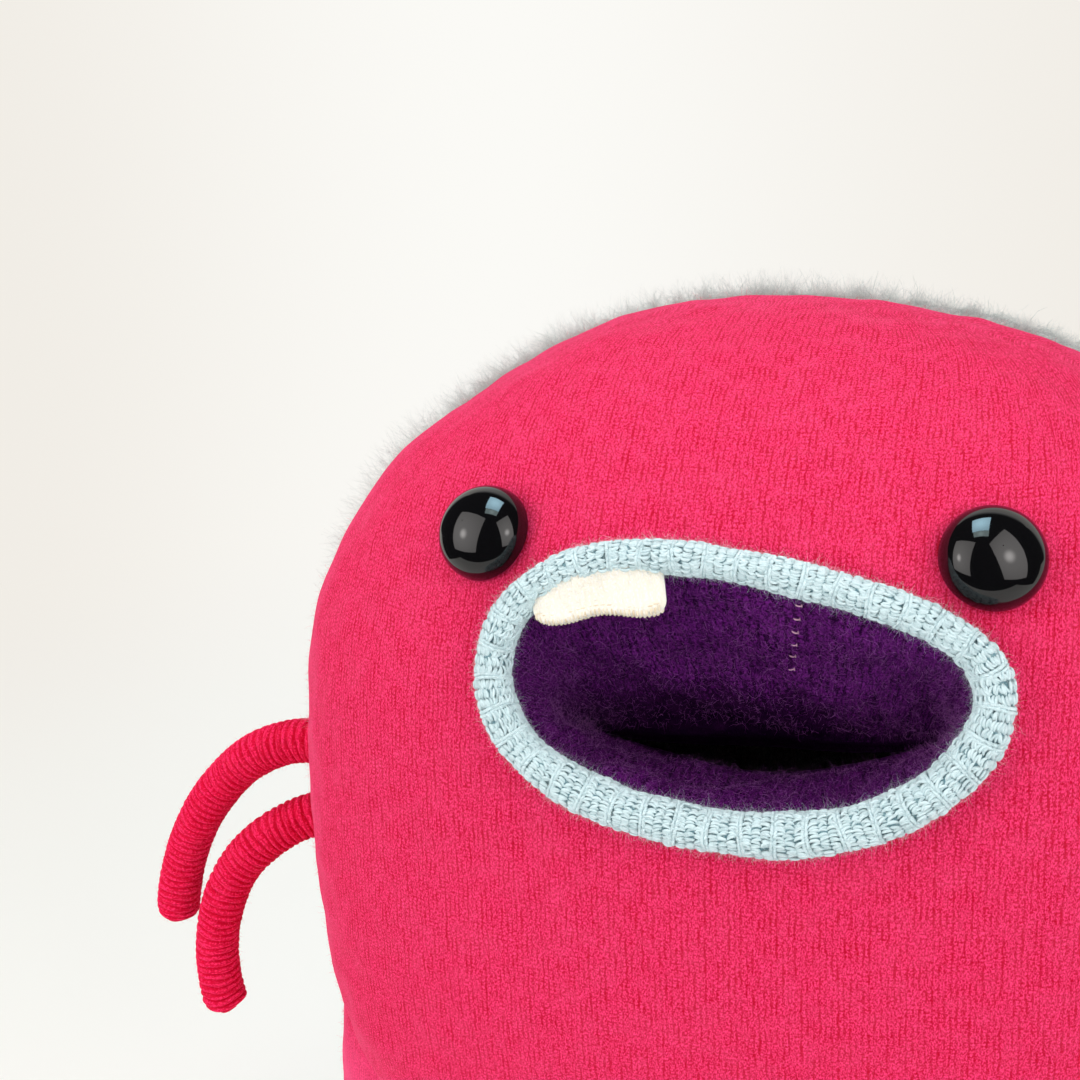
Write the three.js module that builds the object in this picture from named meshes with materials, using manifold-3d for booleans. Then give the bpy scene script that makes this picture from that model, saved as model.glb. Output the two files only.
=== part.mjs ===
// Plush monster: a stuffed body on two stubby legs, an open mouth with a rolled lip, one tooth,
// two domed eyes and four ribbed arms sewn into the side seams.
// Millimetres, +Z up. The face looks along -Y and -X is on the viewer's left.
// The origin lies on the floor, under the middle of the body.

import * as THREE from 'three';
import { mergeVertices } from 'three/addons/utils/BufferGeometryUtils.js';
import Module from 'manifold-3d';

const wasm = await Module();
wasm.setup();

// Clearances

const seatGap = 0.3; // between two pieces that lie on each other
const swivelGap = 0.45; // round an arm's rounded root, which turns in its dimple
const foldGap = 0.7; // round the mouth lining, whose folded corners are tight
const cutReach = 30; // how far a cutter runs past the surface that it opens

// Body

const bodyHalfWidth = 175;
const bodyFrontDepth = 126;
const bodyBackDepth = 131;
const bodyHeight = 384;
const bodyWidest = 198; // height of the widest section
const bodyBottom = 29; // lowest point of the belly between the legs
const crownPower = 2.72; // how long the sides stay full below the crown
const crownRoundness = 2.1;
const bellyPower = 2.8;
const bellyRoundness = 2.33;
const sectionPower = 2.55; // 2 is a plain ellipse, more is squarer
const bodySides = 32;
const crownLevels = 9;
const bellyLevels = 8;

// Legs

const legInset = 47; // from the widest point of the body to the middle of a leg
const legOffset = bodyHalfWidth - legInset;
const legHalfWidth = 58.5;
const legHalfDepth = 60;
const legReach = 150; // height at which the leg has melted into the body
const legShoulder = 5; // 2 is a round shoulder, more is squarer
const legAnkleShare = 0.9; // width at the sole against the full width
const legSwellHeight = 34; // height at which the leg is at full width
const legSides = 20;
const legLevels = 5;

// Knitted panels, soles and lining

const skinThickness = 2.5;
const soleThickness = 2.5;
const soleRollIn = 1.6; // how far the sewn edge of a sole rolls in under the foot
const sideSeamY = -8; // where the front meets the back along the sides
const crownSeamY = 22; // the same seam at the crown, which leans back
const seamSteps = 12;

// Mouth

const mouthX = 4.2;
const mouthDrop = 92.7; // from the crown down to the middle of the mouth
const mouthZ = bodyHeight - mouthDrop;
const mouthHalfWidth = 71.2;
const mouthHalfHeight = 36.6;
const mouthLeanOffset = -2; // how far the top of the mouth sits to one side
const mouthEggOffset = 1.7; // makes one corner blunter than the other
const mouthSkewOffset = 2.6; // swings the upper corner out and the lower corner in
const mouthDroopHeight = -1.1; // lifts the upper lip on the left and lets it fall on the right
const mouthLobeHeight = 1.5; // slow waves that a hand-sewn edge has
const mouthSecondLobeHeight = 0.9;
const lipRadius = 6.4; // at the bottom of the mouth
const lipTopRadius = 4.7; // stretched thinner along the top
const lipStandOff = 3.5; // middle of the lip roll in front of the body's surface
const panelTuckDepth = 2.8; // the panel's raw edge outside the middle of the lip roll
const lipRibs = 38;
const lipRibDepth = 0.7;
const lipSides = 8;
const liningThickness = 2;
const liningInset = 3.2; // lining's mouth edge inside the middle of the lip roll
const liningSides = 24;
const creaseX = -8; // lowest point of the fold at the back of the mouth
const creaseY = -58;
const creaseDrop = 44.3; // lowest point of the fold below the middle of the mouth
const creaseZ = mouthZ - creaseDrop;
const creaseHalfWidth = 56;
const creaseHalfGap = 2.2;
const creaseRiseHeight = 15; // how far the fold climbs at creaseSpan from its lowest point
const creaseForwardDepth = 14; // how far it comes forward there
const creaseSpan = 60;
const liningStops = [0, 0.12, 0.3, 0.5, 0.7, 0.87, 1]; // shares of the way to the fold

// Tooth: two layers of knit sewn edge to edge, hung from the lip

const toothX = -37.5; // middle of the tooth along the lip
const toothWidth = 40;
const toothLength = 12;
const toothLayerThickness = 2.1;
const toothTopCurve = 4; // how far the upper corners drop to follow the lip
const toothWaveHeight = 0.9; // wave of the lower edge
const toothSlant = 0.14; // the lower edge lies flatter than the lip above it
const toothCornerRadius = 4;
const toothEdgeRadius = 0.5;
const toothSeatAngle = 10; // degrees behind the lip's plane at which the tooth is sewn on
const toothTilt = 4; // degrees that the tooth leans out of the mouth
const toothAboveSeam = 1;

// Eyes

const eyeX = 75;
const eyeRise = 38.2; // from the middle of the mouth up to the eyes
const eyeZ = mouthZ + eyeRise;
const eyeRadius = 15;
const eyeDomeHeight = 12.4;
const eyeRimHeight = 1.3; // height of the straight rim under the dome
const eyeSeatDepth = 0.7; // how far the pull of the washer sinks the rim into the knit
const shankRadius = 3;
const shankLength = 14;
const washerRadius = 12.5;
const washerThickness = 2;
const washerSetBack = 2.6; // washer behind the knit at its middle, where the knit curves away
const eyeSides = 20;
const eyeDomeSteps = 6;

// Arms

const armRadius = 8.7;
const armStandOff = 6.2; // turning point outside the body's surface
const armLeadLength = 1.4; // straight stretch before the bend
const armWallThickness = 2.8;
const armRibPitch = 3.2;
const armRibDepth = 0.8;
const armTipLength = 5;
const armSides = 8;
const ribsPerBoreRing = 5;
const armSpacing = 29.6; // between the roots of the two arms on a side
const upperArm = {
  rootZ: 210.8,
  forward: 0,
  startAngle: 3.4,
  bendRadius: 56.4,
  bendLength: 42.3,
  tailRadius: 115,
  length: 133.9,
};
const lowerArm = {
  rootZ: upperArm.rootZ - armSpacing,
  forward: 18.3,
  startAngle: -5.4,
  bendRadius: 58.3,
  bendLength: 60.9,
  tailRadius: 86.8,
  length: 119.4,
};

// Materials

const knit = (name, color, roughness) =>
  new THREE.MeshStandardMaterial({ name, color, roughness, metalness: 0 });
const pinkKnit = () => knit('pink_felted_knit', 0xe8285a, 0.95);
const armKnit = () => knit('pink_ribbed_knit', 0xd81f4e, 0.95);
const greyMohair = () => knit('grey_mohair_knit', 0xc9cfcf, 0.98);
const purpleKnit = () => knit('purple_lambswool', 0x3f1554, 0.97);
const blueKnit = () => knit('light_blue_rib_knit', 0xb9d7db, 0.95);
const creamKnit = () => knit('cream_felted_knit', 0xf8f2df, 0.95);
const fibrefill = () => knit('white_fibrefill', 0xf2f2ee, 1);
const blackPlastic = () => knit('black_gloss_plastic', 0x0b0b0d, 0.08);
const whitePlastic = () => knit('white_washer_plastic', 0xe6e6e2, 0.45);

// Solids and meshes

function signedVolume(positions, indices) {
  let sum = 0;
  const a = new THREE.Vector3();
  const b = new THREE.Vector3();
  const c = new THREE.Vector3();
  for (let i = 0; i < indices.length; i += 3) {
    a.fromArray(positions, 3 * indices[i]);
    b.fromArray(positions, 3 * indices[i + 1]);
    c.fromArray(positions, 3 * indices[i + 2]);
    sum += a.dot(b.cross(c));
  }
  return sum / 6;
}

// Joins rings of points into one closed body. A ring of one point is a pole, and an open end
// is closed straight across, point k to its mirror point.
function loft(rings, { endless = false } = {}) {
  const positions = [];
  const indices = [];
  const starts = rings.map((ring) => {
    const start = positions.length / 3;
    ring.forEach((p) => positions.push(p.x, p.y, p.z));
    return start;
  });
  const face = (a, b, c) => {
    if (a !== b && b !== c && c !== a) indices.push(a, b, c);
  };
  const join = (i, j) => {
    const sides = Math.max(rings[i].length, rings[j].length);
    const at = (r, k) => starts[r] + (k % rings[r].length);
    for (let k = 0; k < sides; k += 1) {
      face(at(i, k), at(i, k + 1), at(j, k + 1));
      face(at(i, k), at(j, k + 1), at(j, k));
    }
  };
  const close = (r, turn) => {
    const n = rings[r].length;
    for (let k = 0; k < n / 2; k += 1) {
      const quad = [k, k + 1, n - k - 1, n - k].map((m) => starts[r] + (m % n));
      if (turn) quad.reverse();
      face(quad[0], quad[1], quad[2]);
      face(quad[0], quad[2], quad[3]);
    }
  };
  for (let i = 0; i + 1 < rings.length; i += 1) join(i, i + 1);
  if (endless) {
    join(rings.length - 1, 0);
  } else {
    close(0, true);
    close(rings.length - 1, false);
  }
  if (signedVolume(positions, indices) < 0) indices.reverse();
  const geometry = new THREE.BufferGeometry();
  geometry.setAttribute('position', new THREE.Float32BufferAttribute(positions, 3));
  geometry.setIndex(indices);
  return geometry;
}

function solid(geometry, matrix) {
  const bare = geometry.clone();
  if (matrix) bare.applyMatrix4(matrix);
  bare.deleteAttribute('normal');
  bare.deleteAttribute('uv');
  const merged = mergeVertices(bare, 1e-4);
  return new wasm.Manifold(
    new wasm.Mesh({
      numProp: 3,
      vertProperties: new Float32Array(merged.attributes.position.array),
      triVerts: new Uint32Array(merged.index.array),
    }),
  );
}

function geometryOf(body) {
  const mesh = body.getMesh();
  const geometry = new THREE.BufferGeometry();
  const positions = new Float32Array(mesh.vertProperties);
  geometry.setAttribute('position', new THREE.BufferAttribute(positions, 3));
  geometry.setIndex(new THREE.BufferAttribute(new Uint32Array(mesh.triVerts), 1));
  return geometry;
}

const part = new THREE.Group();

function addPiece(name, geometry, material, matrix) {
  geometry.computeVertexNormals();
  const mesh = new THREE.Mesh(geometry, material);
  mesh.name = name;
  if (matrix) mesh.applyMatrix4(matrix);
  part.add(mesh);
}

// Body form: sections that swell to the widest level and close at crown and belly

const signedPower = (value, power) => Math.sign(value) * Math.abs(value) ** power;

function bodyShare(z, inset = 0) {
  const up = z >= bodyWidest;
  const span = up ? bodyHeight - inset - bodyWidest : bodyWidest - bodyBottom - inset;
  const t = Math.min(Math.abs(z - bodyWidest) / span, 1);
  const power = up ? crownPower : bellyPower;
  const roundness = up ? crownRoundness : bellyRoundness;
  return (1 - t ** power) ** (1 / roundness);
}

function sectionRing(halfWidth, frontDepth, backDepth, z, centreX, sides) {
  return Array.from({ length: sides }, (_, k) => {
    const angle = (2 * Math.PI * k) / sides;
    const x = halfWidth * signedPower(Math.cos(angle), 2 / sectionPower);
    const depth = Math.sin(angle) < 0 ? frontDepth : backDepth;
    const y = depth * signedPower(Math.sin(angle), 2 / sectionPower);
    return new THREE.Vector3(centreX + x, y, z);
  });
}

function torso(inset) {
  const top = bodyHeight - inset;
  const bottom = bodyBottom + inset;
  const rings = [[new THREE.Vector3(0, 0, bottom)]];
  for (let k = 1 - bellyLevels; k < crownLevels; k += 1) {
    const levels = k < 0 ? bellyLevels : crownLevels;
    const reach = k < 0 ? bodyWidest - bottom : top - bodyWidest;
    const z = bodyWidest + reach * Math.sin((k / levels) * (Math.PI / 2));
    const share = bodyShare(z, inset);
    rings.push(
      sectionRing(
        (bodyHalfWidth - inset) * share,
        (bodyFrontDepth - inset) * share,
        (bodyBackDepth - inset) * share,
        z,
        0,
        bodySides,
      ),
    );
  }
  rings.push([new THREE.Vector3(0, 0, top)]);
  return solid(loft(rings));
}

function legShare(z, reach) {
  const swell = Math.sin(Math.min(z / legSwellHeight, 1) * (Math.PI / 2));
  const ankle = legAnkleShare + (1 - legAnkleShare) * swell;
  return ankle * Math.sqrt(1 - (z / reach) ** legShoulder);
}

function leg(side, inset) {
  const reach = legReach - inset;
  const rings = [];
  for (let k = 0; k < legLevels; k += 1) {
    const z = reach * Math.sin((k / legLevels) * (Math.PI / 2));
    const share = legShare(z, reach);
    const depth = legHalfDepth * share - inset;
    rings.push(
      sectionRing(legHalfWidth * share - inset, depth, depth, z, side * legOffset, legSides),
    );
  }
  rings.push([new THREE.Vector3(side * legOffset, 0, reach)]);
  return solid(loft(rings));
}

const form = (inset) => torso(inset).add(leg(-1, inset)).add(leg(1, inset));

function bodyPoint(x, z) {
  const share = bodyShare(z);
  const across = Math.abs(x / (bodyHalfWidth * share)) ** sectionPower;
  return new THREE.Vector3(x, -bodyFrontDepth * share * (1 - across) ** (1 / sectionPower), z);
}

function bodyNormal(x, z) {
  const step = 0.5;
  const across = bodyPoint(x + step, z).sub(bodyPoint(x - step, z));
  const up = bodyPoint(x, z + step).sub(bodyPoint(x, z - step));
  return across.cross(up).normalize();
}

// Seam between the front and back panels, which leans back towards the crown

function seamY(z) {
  const t = THREE.MathUtils.clamp((z - bodyWidest) / (bodyHeight - bodyWidest), 0, 1);
  return sideSeamY + (crownSeamY - sideSeamY) * t * t * (3 - 2 * t);
}

function seamSide(direction) {
  const far = direction * (bodyFrontDepth + bodyBackDepth);
  const low = soleThickness + seatGap;
  const high = bodyHeight + cutReach;
  const outline = new THREE.Shape();
  outline.moveTo(far, low);
  for (let k = 0; k <= seamSteps; k += 1) {
    const z = low + ((high - low) * k) / seamSteps;
    outline.lineTo(seamY(z) + (direction * seatGap) / 2, z);
  }
  outline.lineTo(far, high);
  const width = 2 * (bodyHalfWidth + cutReach);
  const prism = new THREE.ExtrudeGeometry(outline, { depth: width, bevelEnabled: false });
  const turn = new THREE.Matrix4().makeBasis(
    new THREE.Vector3(0, 1, 0),
    new THREE.Vector3(0, 0, 1),
    new THREE.Vector3(1, 0, 0),
  );
  turn.setPosition(-width / 2, 0, 0);
  return solid(prism, turn);
}

// Mouth: an egg-shaped line on the body, with its rolled lip and the folded lining behind it

class MouthLine extends THREE.Curve {
  constructor(inset, lift) {
    super();
    this.inset = inset;
    this.lift = lift;
  }

  getPoint(share, target = new THREE.Vector3()) {
    const angle = 2 * Math.PI * share;
    const x =
      mouthX +
      (mouthHalfWidth - this.inset) * Math.cos(angle) +
      mouthLeanOffset * Math.sin(angle) +
      mouthEggOffset * Math.cos(2 * angle) +
      mouthSkewOffset * Math.sin(2 * angle);
    const z =
      mouthZ +
      (mouthHalfHeight - this.inset) * Math.sin(angle) +
      mouthDroopHeight * Math.sin(2 * angle) +
      mouthLobeHeight * Math.cos(3 * angle) +
      mouthSecondLobeHeight * Math.sin(3 * angle);
    return target.copy(bodyPoint(x, z)).addScaledVector(bodyNormal(x, z), this.lift);
  }
}

const lipLine = new MouthLine(0, lipStandOff);
lipLine.arcLengthDivisions = 400;

function lipFrame(share) {
  const centre = lipLine.getPointAt(share);
  const along = lipLine.getTangentAt(share);
  const out = bodyNormal(centre.x, centre.z);
  const inward = new THREE.Vector3().crossVectors(out, along).normalize();
  out.crossVectors(along, inward).normalize();
  return { centre, along, out, inward };
}

function lipRadiusAt(z) {
  const share = THREE.MathUtils.clamp(0.5 + (z - mouthZ) / (2 * mouthHalfHeight), 0, 1);
  return THREE.MathUtils.lerp(lipRadius, lipTopRadius, share);
}

function lipRoll(ribStations, grow) {
  const stations = ribStations * lipRibs;
  const rings = Array.from({ length: stations }, (_, k) => {
    const { centre, out, inward } = lipFrame(k / stations);
    const radius = lipRadiusAt(centre.z) + grow - (k % ribStations ? lipRibDepth : 0);
    return Array.from({ length: lipSides }, (_unused, m) => {
      const angle = (2 * Math.PI * (m + 0.5)) / lipSides;
      return centre
        .clone()
        .addScaledVector(out, radius * Math.sin(angle))
        .addScaledVector(inward, radius * Math.cos(angle));
    });
  });
  return loft(rings, { endless: true });
}

const liningEdge = new MouthLine(liningInset, 0);

function creasePoint(angle) {
  const x = mouthX + creaseHalfWidth * Math.cos(angle);
  const off = ((x - creaseX) / creaseSpan) ** 2;
  return new THREE.Vector3(
    x,
    creaseY - creaseForwardDepth * off,
    creaseZ + creaseRiseHeight * off + creaseHalfGap * Math.sin(angle),
  );
}

function liningPoint(angle, share) {
  const edge = liningEdge.getPoint(angle / (2 * Math.PI));
  return edge.lerp(creasePoint(angle), share);
}

function liningOut(angle, share) {
  const step = 0.01;
  const from = Math.max(share - step, 0);
  const to = Math.min(share + step, 1);
  const round = liningPoint(angle + step, share).sub(liningPoint(angle - step, share));
  const deep = liningPoint(angle, to).sub(liningPoint(angle, from));
  return deep.cross(round).normalize();
}

const liningAngles = Array.from({ length: liningSides }, (_, k) => (2 * Math.PI * k) / liningSides);

function liningRing(share, grow) {
  return liningAngles.map((angle) =>
    liningPoint(angle, share).addScaledVector(liningOut(angle, share), grow),
  );
}

const foldDirection = new THREE.Vector3(0, 0.86, -0.51);

// The panel's raw edge ends under the lip.
function panelOpening() {
  const rings = [cutReach, -2 * skinThickness].map((lift) => {
    const line = new MouthLine(-panelTuckDepth, lift);
    return liningAngles.map((angle) => line.getPoint(angle / (2 * Math.PI)));
  });
  return solid(loft(rings));
}

function liningBack(grow) {
  return liningRing(1, grow / 2).map((p) => p.addScaledVector(foldDirection, grow));
}

function lining() {
  const outside = liningStops.map((share) => liningRing(share, liningThickness));
  const inside = liningStops.map((share) => liningRing(share, 0));
  return loft([liningBack(liningThickness), ...outside.reverse(), ...inside]);
}

function mouthCutter(grow) {
  const walls = liningStops.map((share) => liningRing(share, grow));
  const front = walls[0].map((p, k) => {
    const edge = liningPoint(liningAngles[k], 0);
    return p.clone().addScaledVector(bodyNormal(edge.x, edge.z), cutReach);
  });
  return solid(loft([front, ...walls, liningBack(grow)]));
}

// Eyes: one moulding of dome, rim and shank, locked by a washer behind the knit

function eyeFrame(side) {
  const seat = bodyPoint(side * eyeX, eyeZ);
  const axis = bodyNormal(side * eyeX, eyeZ);
  const turn = new THREE.Quaternion().setFromUnitVectors(new THREE.Vector3(0, 1, 0), axis);
  return new THREE.Matrix4().compose(seat, turn, new THREE.Vector3(1, 1, 1));
}

function revolve(profile) {
  const points = profile.map(([radius, height]) => new THREE.Vector2(radius, height));
  return new THREE.LatheGeometry(points, eyeSides);
}

function eyeMoulding() {
  const rimBack = -eyeSeatDepth;
  const rimFront = rimBack + eyeRimHeight;
  const dome = Array.from({ length: eyeDomeSteps }, (_, k) => {
    const angle = (k / eyeDomeSteps) * (Math.PI / 2);
    return [eyeRadius * Math.cos(angle), rimFront + eyeDomeHeight * Math.sin(angle)];
  });
  return revolve([
    [0, -shankLength],
    [shankRadius, -shankLength],
    [shankRadius, rimBack],
    [eyeRadius, rimBack],
    ...dome,
    [0, rimFront + eyeDomeHeight],
  ]);
}

const washerFront = -(skinThickness + washerSetBack);
const washerBack = washerFront - washerThickness;

function washer() {
  const bore = shankRadius + seatGap;
  return revolve([
    [bore, washerBack],
    [washerRadius, washerBack],
    [washerRadius, washerFront],
    [bore, washerFront],
    [bore, washerBack],
  ]);
}

function plug(radius, from, to) {
  return revolve([
    [0, from],
    [radius, from],
    [radius, to],
    [0, to],
  ]);
}

function eyeCutters(side, parts) {
  return parts.map(([radius, from, to]) => solid(plug(radius, from, to), eyeFrame(side)));
}

const skinEyeCuts = [
  [eyeRadius + seatGap, -eyeSeatDepth - seatGap, cutReach],
  [shankRadius + seatGap, -shankLength, cutReach],
];
const stuffingEyeCuts = [
  [washerRadius + seatGap, washerBack - seatGap, cutReach],
  [shankRadius + seatGap, -shankLength - seatGap, cutReach],
];

// Arms: a ribbed knitted tube with a closed tip, bent down and rounded at its sewn root

function armPoint(arm, s) {
  const start = THREE.MathUtils.degToRad(arm.startAngle);
  const turned = (radius, from, length, point) => {
    const to = from - length / radius;
    return {
      out: point.out + radius * (Math.sin(from) - Math.sin(to)),
      up: point.up + radius * (Math.cos(to) - Math.cos(from)),
      angle: to,
    };
  };
  const straight = Math.min(s, armLeadLength);
  const lead = { out: straight * Math.cos(start), up: straight * Math.sin(start), angle: start };
  const past = s - armLeadLength;
  if (past <= 0) return lead;
  const bend = turned(arm.bendRadius, start, Math.min(past, arm.bendLength), lead);
  if (past <= arm.bendLength) return bend;
  return turned(arm.tailRadius, bend.angle, past - arm.bendLength, bend);
}

function armRing(arm, s, radius) {
  const { out, up, angle } = armPoint(arm, s);
  return Array.from({ length: radius > 0 ? armSides : 1 }, (_, k) => {
    const round = (2 * Math.PI * (k + 0.5)) / armSides;
    const lift = radius * Math.sin(round);
    return new THREE.Vector3(
      out - lift * Math.sin(angle),
      radius * Math.cos(round),
      up + lift * Math.cos(angle),
    );
  });
}

const boreRadius = armRadius - armWallThickness;
const rootOpening = Math.sqrt(armRadius ** 2 - boreRadius ** 2);

function boreStops(arm) {
  const end = arm.length - armTipLength - armWallThickness;
  const count = Math.ceil(end / (armRibPitch * ribsPerBoreRing));
  return Array.from({ length: count + 1 }, (_, k) => (end * k) / count);
}

function sleeve(arm) {
  const bore = boreStops(arm).map((s) => armRing(arm, s, boreRadius));
  const boreTip = armRing(arm, arm.length - armTipLength, 0);
  const root = [1, 0.5].map((share) => {
    const s = -rootOpening * share;
    return armRing(arm, s, Math.sqrt(armRadius ** 2 - s ** 2));
  });
  const ribEnd = arm.length - armTipLength;
  const ribs = Math.floor(ribEnd / armRibPitch);
  const pitch = ribEnd / ribs;
  const ribRings = [];
  for (let k = 0; k < ribs; k += 1) {
    ribRings.push(armRing(arm, k * pitch, armRadius));
    ribRings.push(armRing(arm, (k + 0.6) * pitch, armRadius - armRibDepth));
  }
  const tip = [0, 0.35, 0.7, 0.93].map((share) =>
    armRing(arm, ribEnd + armTipLength * share, armRadius * Math.sqrt(1 - share ** 2.4)),
  );
  const tipPole = armRing(arm, arm.length, 0);
  return loft([boreTip, ...bore.reverse(), ...root, ...ribRings, ...tip, tipPole]);
}

function armFilling(arm) {
  const radius = boreRadius - seatGap / Math.cos(Math.PI / armSides);
  const stops = boreStops(arm);
  const root = armRing(arm, seatGap - rootOpening, radius);
  return loft([root, ...stops.map((s) => armRing(arm, s, radius))]);
}

function armFrame(arm, side) {
  const share = bodyShare(arm.rootZ);
  const depth = sideSeamY < 0 ? bodyFrontDepth : bodyBackDepth;
  const along = Math.abs(sideSeamY / (depth * share)) ** sectionPower;
  const surface = bodyHalfWidth * share * (1 - along) ** (1 / sectionPower);
  const forward = THREE.MathUtils.degToRad(arm.forward);
  const yaw = side > 0 ? -forward : Math.PI + forward;
  const frame = new THREE.Matrix4().makeRotationZ(yaw);
  frame.setPosition(side * (surface + armStandOff), sideSeamY, arm.rootZ);
  return frame;
}

function armDimple(arm, side) {
  const ball = new THREE.SphereGeometry(armRadius + swivelGap, 20, 12);
  return solid(ball, armFrame(arm, side));
}

// Tooth: its frame lies in the seam that hangs it from the lip, between its two layers

function toothFrame() {
  let low = 0.25;
  let high = 0.5;
  for (let k = 0; k < 40; k += 1) {
    const middle = (low + high) / 2;
    if (lipLine.getPointAt(middle).x > toothX) low = middle;
    else high = middle;
  }
  const { centre, along, out, inward } = lipFrame(low);
  const halfThickness = toothLayerThickness + seatGap / 2;
  const corner = Math.hypot(halfThickness, toothAboveSeam);
  const reach = lipRadiusAt(centre.z) + seatGap + corner;
  const seat = THREE.MathUtils.degToRad(toothSeatAngle);
  const hinge = centre
    .clone()
    .addScaledVector(inward, reach * Math.cos(seat))
    .addScaledVector(out, -reach * Math.sin(seat));
  const right = along.clone().negate();
  const tilt = THREE.MathUtils.degToRad(toothTilt);
  const up = inward.clone().negate().applyAxisAngle(right, -tilt);
  const front = new THREE.Vector3().crossVectors(right, up);
  return new THREE.Matrix4().makeBasis(right, up, front).setPosition(hinge);
}

function toothOutline() {
  const half = toothWidth / 2;
  const round = (u) => toothCornerRadius * (1 - Math.sqrt(Math.max(0, 1 - u ** 2)));
  const corner = (x) => round(Math.max(0, (Math.abs(x) - (half - toothCornerRadius)) / toothCornerRadius));
  const top = (x) => toothAboveSeam - toothTopCurve * (x / half) ** 2;
  const wave = (x) => toothWaveHeight * Math.cos((2 * Math.PI * (x + 13)) / 27);
  const bottom = (x) => corner(x) + toothAboveSeam - toothLength - toothSlant * x - wave(x);
  const steps = 14;
  const xs = Array.from({ length: steps + 1 }, (_, k) => -half * Math.cos((Math.PI * k) / steps));
  const outline = new THREE.Shape();
  outline.moveTo(xs[0], top(xs[0]));
  xs.slice(1).forEach((x) => outline.lineTo(x, top(x)));
  xs.reverse().forEach((x) => outline.lineTo(x, bottom(x)));
  return outline;
}

function toothPlate(offset) {
  const plate = new THREE.ExtrudeGeometry(toothOutline(), {
    depth: toothLayerThickness - 2 * toothEdgeRadius,
    bevelThickness: toothEdgeRadius,
    bevelSize: toothEdgeRadius,
    bevelOffset: -toothEdgeRadius,
    bevelSegments: 1,
  });
  plate.translate(0, 0, offset + toothEdgeRadius);
  return geometryOf(solid(plate));
}

// Soles: flat ovals that close the legs, with the sewn edge rolled in underneath

function sole(side) {
  const level = (z, rollIn) => {
    const share = legShare(z, legReach);
    const depth = legHalfDepth * share - rollIn;
    const width = legHalfWidth * share - rollIn;
    return sectionRing(width, depth, depth, z, side * legOffset, legSides);
  };
  return loft([level(0, soleRollIn), level(soleThickness / 2, 0), level(soleThickness, 0)]);
}

// Assembly

const sides = { left: -1, right: 1 };
const arms = { upper: upperArm, lower: lowerArm };
const sideNames = Object.keys(sides);
const armNames = Object.keys(arms);

const lipCutter = solid(lipRoll(1, seatGap));
const dimples = armNames.flatMap((level) =>
  sideNames.map((name) => armDimple(arms[level], sides[name])),
);
const lessAll = (body, cutters) => cutters.reduce((rest, cutter) => rest.subtract(cutter), body);

const skin = lessAll(form(0), [
  form(skinThickness),
  mouthCutter(liningThickness + foldGap),
  panelOpening(),
  lipCutter,
  ...dimples,
  ...sideNames.flatMap((name) => eyeCutters(sides[name], skinEyeCuts)),
]);
const front = skin.intersect(seamSide(-1));
const back = skin.intersect(seamSide(1));

const stuffingInset = skinThickness + seatGap;
const floorCut = new THREE.BoxGeometry(4 * bodyHalfWidth, 4 * bodyBackDepth, cutReach);
floorCut.translate(0, 0, soleThickness + seatGap - cutReach / 2);
const stuffing = lessAll(form(stuffingInset), [
  solid(floorCut),
  mouthCutter(liningThickness + foldGap),
  lipCutter,
  ...dimples,
  ...sideNames.flatMap((name) => eyeCutters(sides[name], stuffingEyeCuts)),
]);

addPiece('front_panel', geometryOf(front), pinkKnit());
addPiece('back_panel', geometryOf(back), greyMohair());
addPiece('body_stuffing', geometryOf(stuffing), fibrefill());
addPiece('mouth_lining', geometryOf(solid(lining()).subtract(lipCutter)), purpleKnit());
addPiece('lip_band', lipRoll(2, 0), blueKnit());
addPiece('tooth_front', toothPlate(seatGap / 2), creamKnit(), toothFrame());
addPiece('tooth_back', toothPlate(-seatGap / 2 - toothLayerThickness), creamKnit(), toothFrame());

sideNames.forEach((name) => {
  const side = sides[name];
  addPiece(`sole_${name}`, sole(side), pinkKnit());
  addPiece(`eye_${name}`, geometryOf(solid(eyeMoulding())), blackPlastic(), eyeFrame(side));
  addPiece(`eye_washer_${name}`, geometryOf(solid(washer())), whitePlastic(), eyeFrame(side));
  armNames.forEach((level) => {
    const arm = arms[level];
    const frame = armFrame(arm, side);
    addPiece(`arm_${level}_${name}`, sleeve(arm), armKnit(), frame);
    addPiece(`arm_${level}_${name}_filling`, armFilling(arm), fibrefill(), frame);
  });
});

export default part;
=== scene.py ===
"""Plush monster: knitted skins, rolled lip, lining, tooth, eyes and ribbed arms over the CAD frame.

Sizes in the classes are millimetres in the frame's own axes: +Z up, the face along -Y.
"""

import logging
import math
from dataclasses import dataclass, field
from enum import Enum

import bpy
import numpy as np
from mathutils import Matrix, Vector


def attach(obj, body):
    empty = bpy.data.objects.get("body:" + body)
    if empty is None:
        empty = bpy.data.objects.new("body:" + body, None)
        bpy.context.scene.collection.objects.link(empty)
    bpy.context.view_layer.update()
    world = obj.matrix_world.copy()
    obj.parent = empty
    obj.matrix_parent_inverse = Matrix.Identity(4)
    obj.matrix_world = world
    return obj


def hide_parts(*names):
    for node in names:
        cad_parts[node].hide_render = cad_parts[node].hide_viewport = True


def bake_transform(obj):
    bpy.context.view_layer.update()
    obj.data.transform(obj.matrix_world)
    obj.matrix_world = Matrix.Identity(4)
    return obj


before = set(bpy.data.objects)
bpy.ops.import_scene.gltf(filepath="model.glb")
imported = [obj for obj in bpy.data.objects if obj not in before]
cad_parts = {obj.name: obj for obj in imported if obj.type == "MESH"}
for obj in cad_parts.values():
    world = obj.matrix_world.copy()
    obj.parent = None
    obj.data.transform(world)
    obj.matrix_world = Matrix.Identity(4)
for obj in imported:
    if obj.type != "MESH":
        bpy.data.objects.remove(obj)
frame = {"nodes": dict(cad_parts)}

log = logging.getLogger("plush")

MM = 0.001
SEAT_GAP = 0.3
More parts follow.
